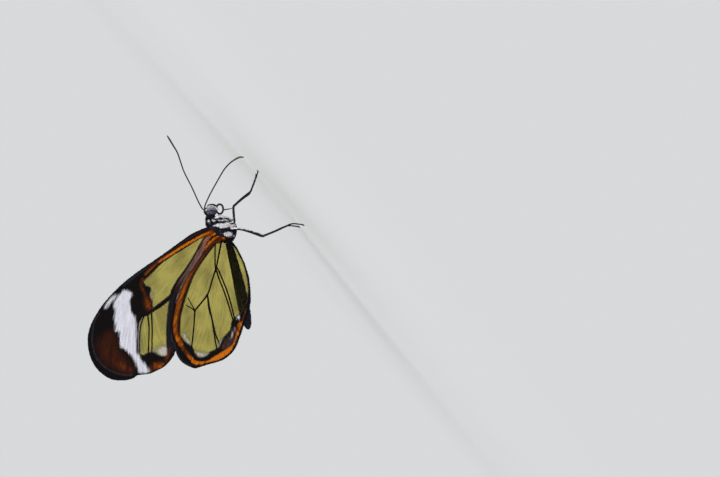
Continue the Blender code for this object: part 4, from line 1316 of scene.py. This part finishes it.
def wing_coat(wing, name, seed):
    """Overlapping scales on both faces of the wing's coloured parts, and the fringe round its edge."""
    random = np.random.default_rng(seed)
    length, half_width, thickness = WING_SCALE
    outline, outward = wing_outline(wing)
    low, high = outline.min(axis=0), outline.max(axis=0)
    rows = np.arange(low[0], high[0], SCALE_ROW)
    columns = np.arange(low[1], high[1], SCALE_COLUMN)
    roots, faces = [], []
    for face in (1.0, -1.0):
        span, chord = np.meshgrid(rows, columns, indexing="ij")
        chord = chord + (np.arange(len(rows)) % 2)[:, None] * SCALE_COLUMN / 2
        place = np.column_stack([span.ravel(), chord.ravel()])
        place = place + random.uniform(-0.3, 0.3, place.shape) * (SCALE_ROW, SCALE_COLUMN)
        roots.append(place)
        faces.append(np.full(len(place), face))
    roots, faces = np.vstack(roots), np.concatenate(faces)
    marks = wing_marks(wing, "right", roots)
    inward = marks["edge"] + black_margin(wing, roots[:, 1])
    scaled = (inward > 0.03) & (marks["clear"] + random.uniform(-0.06, 0.06, len(roots)) < 0.0)
    roots, faces = roots[scaled], faces[scaled]
    along = wing_lie(wing, roots)[1]
    heights = faces * SHELL / 2
    lengths = np.minimum(length * random.uniform(0.8, 1.2, len(roots)), inward[scaled] + RIM_INSET)

    passed = lengths_along(np.vstack([outline, outline[:1]]))
    steps = np.arange(0.0, passed[-1], FRINGE_STEP)
    rim, out = [np.column_stack([np.interp(steps, passed, np.append(ring[:, axis], ring[0, axis]))
                                 for axis in (0, 1)]) for ring in (outline, outward)]
    rim_along = unit(wing_lie(wing, rim)[1] * 0.6 + out)
    rim_roots = rim - out * random.uniform(0.03, 0.10, len(rim))[:, None]
    fringed = rim[:, 0] > FRINGE_FROM
    turns = np.where(np.arange(fringed.sum()) % 2 == 0, 1.0, -1.0)
    roots = np.vstack([roots, rim_roots[fringed]])
    along = np.vstack([along, rim_along[fringed]])
    faces = np.concatenate([faces, turns])
    heights = np.concatenate([heights, turns * 0.012])
    lengths = np.concatenate([lengths, random.uniform(*FRINGE_LENGTH, fringed.sum())])

    marks = wing_marks(wing, "right", roots)
    marks["clear"] = np.minimum(marks["clear"], -0.3)
    share = (roots - low) / (high - low)
    half_of_map = np.where(faces > 0, 0.01, 0.51)
    unwrap = np.column_stack([half_of_map + share[:, 1] * 0.48, 0.01 + share[:, 0] * 0.98])
    count = len(roots)
    sizes = {"length": lengths, "half_width": half_width * random.uniform(0.8, 1.2, count),
             "thickness": thickness, "lift": random.uniform(0.015, 0.035, count)}
    normals = np.column_stack([np.zeros((count, 2)), faces])
    lie = np.column_stack([along, np.zeros(count)])
    return plant(name, "scale", np.column_stack([roots, heights]), normals, lie, sizes, marks, unwrap)


FILM = 0.045                    # how much of each face of the clear membrane is solid to the eye
FILM_TINT = (0.862, 0.832, 0.595)
FILM_COLOUR = (0.050, 0.044, 0.028)
WARM_STOPS = ((0.0, (0.004, 0.0028, 0.003)), (0.35, (0.034, 0.008, 0.003)), (0.62, (0.130, 0.028, 0.002)),
              (0.85, (0.32, 0.074, 0.002)), (1.0, (0.50, 0.128, 0.004)))
# The bluish grey of the painted sheen on the wings' black.
WING_SHEEN_COLOUR = (0.046, 0.046, 0.062)
# Mauve of the scales' bands, and of the painted highlight along the hindwing's leading edge.
MAUVE_AND_EDGE_HIGHLIGHT = (0.270, 0.145, 0.125)
FROST = (0.60, 0.58, 0.56)
WING_WHITE = (0.67, 0.67, 0.73)
WING_WHITE_SHADE = (0.40, 0.38, 0.44)
WING_SHINE = 0.04


def scale_colour(tree):
    """The scales' colour by the marks, and the white, streak, fleck and cloud values."""
    lie = tree.mark("lie", "Vector")
    streak = tree.noise(lie.stretched((0.45, 4.5, 1.0)), 1.0)
    fleck = tree.noise(lie.stretched((5.0, 9.0, 1.0)), 1.0, 2.0)
    rim = (tree.mark("edge") + streak * 0.10).ramp(-0.06, 0.06)
    between = tree.mark("vein").ramp(-0.02, 0.30) * 0.45 + 0.55
    warm = tree.mark("warm") * rim * between * (1.12 + streak * 1.6 + fleck * 0.5)
    colour = tree.node("ShaderNodeValToRGB", {"stops": WARM_STOPS}, {0: warm}, "Color")
    # Painted sheen: bluish grey over the black where the sheen mark is.
    colour = (tree.mark("wing_sheen") * (0.8 + streak)).kept().mixed(colour, WING_SHEEN_COLOUR)
    # Mauve where the mauve mark is: the scales' own colour in the patches, a painted highlight in the line
    # along the hindwing's leading edge.
    colour = (tree.mark("mauve") * (0.66 + streak * 3.2 + fleck * 0.6)).kept().mixed(colour, MAUVE_AND_EDGE_HIGHLIGHT)
    pale = (streak * 1.8 + fleck * 0.5 + 0.66).kept().mixed(WING_WHITE_SHADE, WING_WHITE)
    white = (tree.mark("white") + streak * 0.80 + fleck * 0.16).ramp(-0.28, 0.30) * rim
    cloud = tree.noise(lie.stretched((0.22, 0.30, 1.0)), 1.0, 2.0)
    return white.mixed(colour, pale), white, streak, fleck, cloud


def wing_finish(name):
    """Scales where the marks say, and clear membrane with frosted corners between them."""
    material, tree = finish(name)
    colour, white, streak, fleck, cloud = scale_colour(tree)
    vein = tree.mark("vein")
    window = (tree.mark("clear") + streak * 0.24 + fleck * 0.10).ramp(-0.08, 0.24)
    window = window * (vein + fleck * 0.03).ramp(0.0, 0.045)
    colour = (vein.ramp(0.10, 0.0) * (1.0 - white) * 0.6).mixed(colour, WARM_STOPS[0][1])
    frosted = (tree.mark("frost") * (1.0 + streak * 1.4 + fleck * 0.5)).kept()
    colour = window.mixed(colour, frosted.mixed(FILM_COLOUR, FROST))
    normal = raised(tree, (1.0 - window) * fleck, 0.00002)
    surface = principled(tree, colour, 0.60 - window * 0.35, normal, Specular_IOR_Level=WING_SHINE)
    clear_film = tree.node("ShaderNodeBsdfTransparent", {}, {"Color": (*FILM_TINT, 1.0)})
    film = (streak * 0.24 + fleck * 0.08 + cloud * 0.40 + FILM).kept() + frosted * 0.50
    solid = (1.0 - window * (1.0 - film)).kept()
    closed(tree, tree.node("ShaderNodeMixShader", {}, {0: solid, 1: clear_film, 2: surface}))
    return material


def scale_finish(name):
    """The same colours as the wing's, for the scales that stand on it."""
    material, tree = finish(name)
    colour, _, _, fleck, _ = scale_colour(tree)
    closed(tree, principled(tree, colour, 0.60 + fleck * 0.2, Specular_IOR_Level=WING_SHINE))
    return material


wing_skin = wing_finish("wing_skin")
wing_scales = scale_finish("wing_scales")
for number, (wing_name, wing) in enumerate((("forewing", FOREWING), ("hindwing", HINDWING))):
    sheet = membrane(wing, wing_name)
    scales = wing_coat(wing, wing_name + "_scales", WING_SEED + number)
    for side_name, side in SIDES:
        veins = vein_tubes(wing, side_name, wing_name + "_veins")
        for part, shape, material, slot in (("membrane", sheet, wing_skin, "clear_wing"),
                                            ("veins", veins, wing_skin, "wing_vein"),
                                            ("scales", scales, wing_scales, "wing_scales")):
            name = f"{wing_name}_{side_name}_{part}"
            mesh = shape.copy()
            mesh.name = name
            local = points_of(mesh)
            if part != "scales":
                vein = np.full(len(local), VEIN_TOP) if part == "veins" else None
                put_marks(mesh, wing_marks(wing, side_name, local[:, :2], vein))
            put_points(mesh, wing_to_body(wing, side, local))
            turned_out(mesh)
            replaced = (f"{wing_name}_{side_name}",) if part == "membrane" else ()
            put_piece(name, mesh, material, replaced, part != "scales")
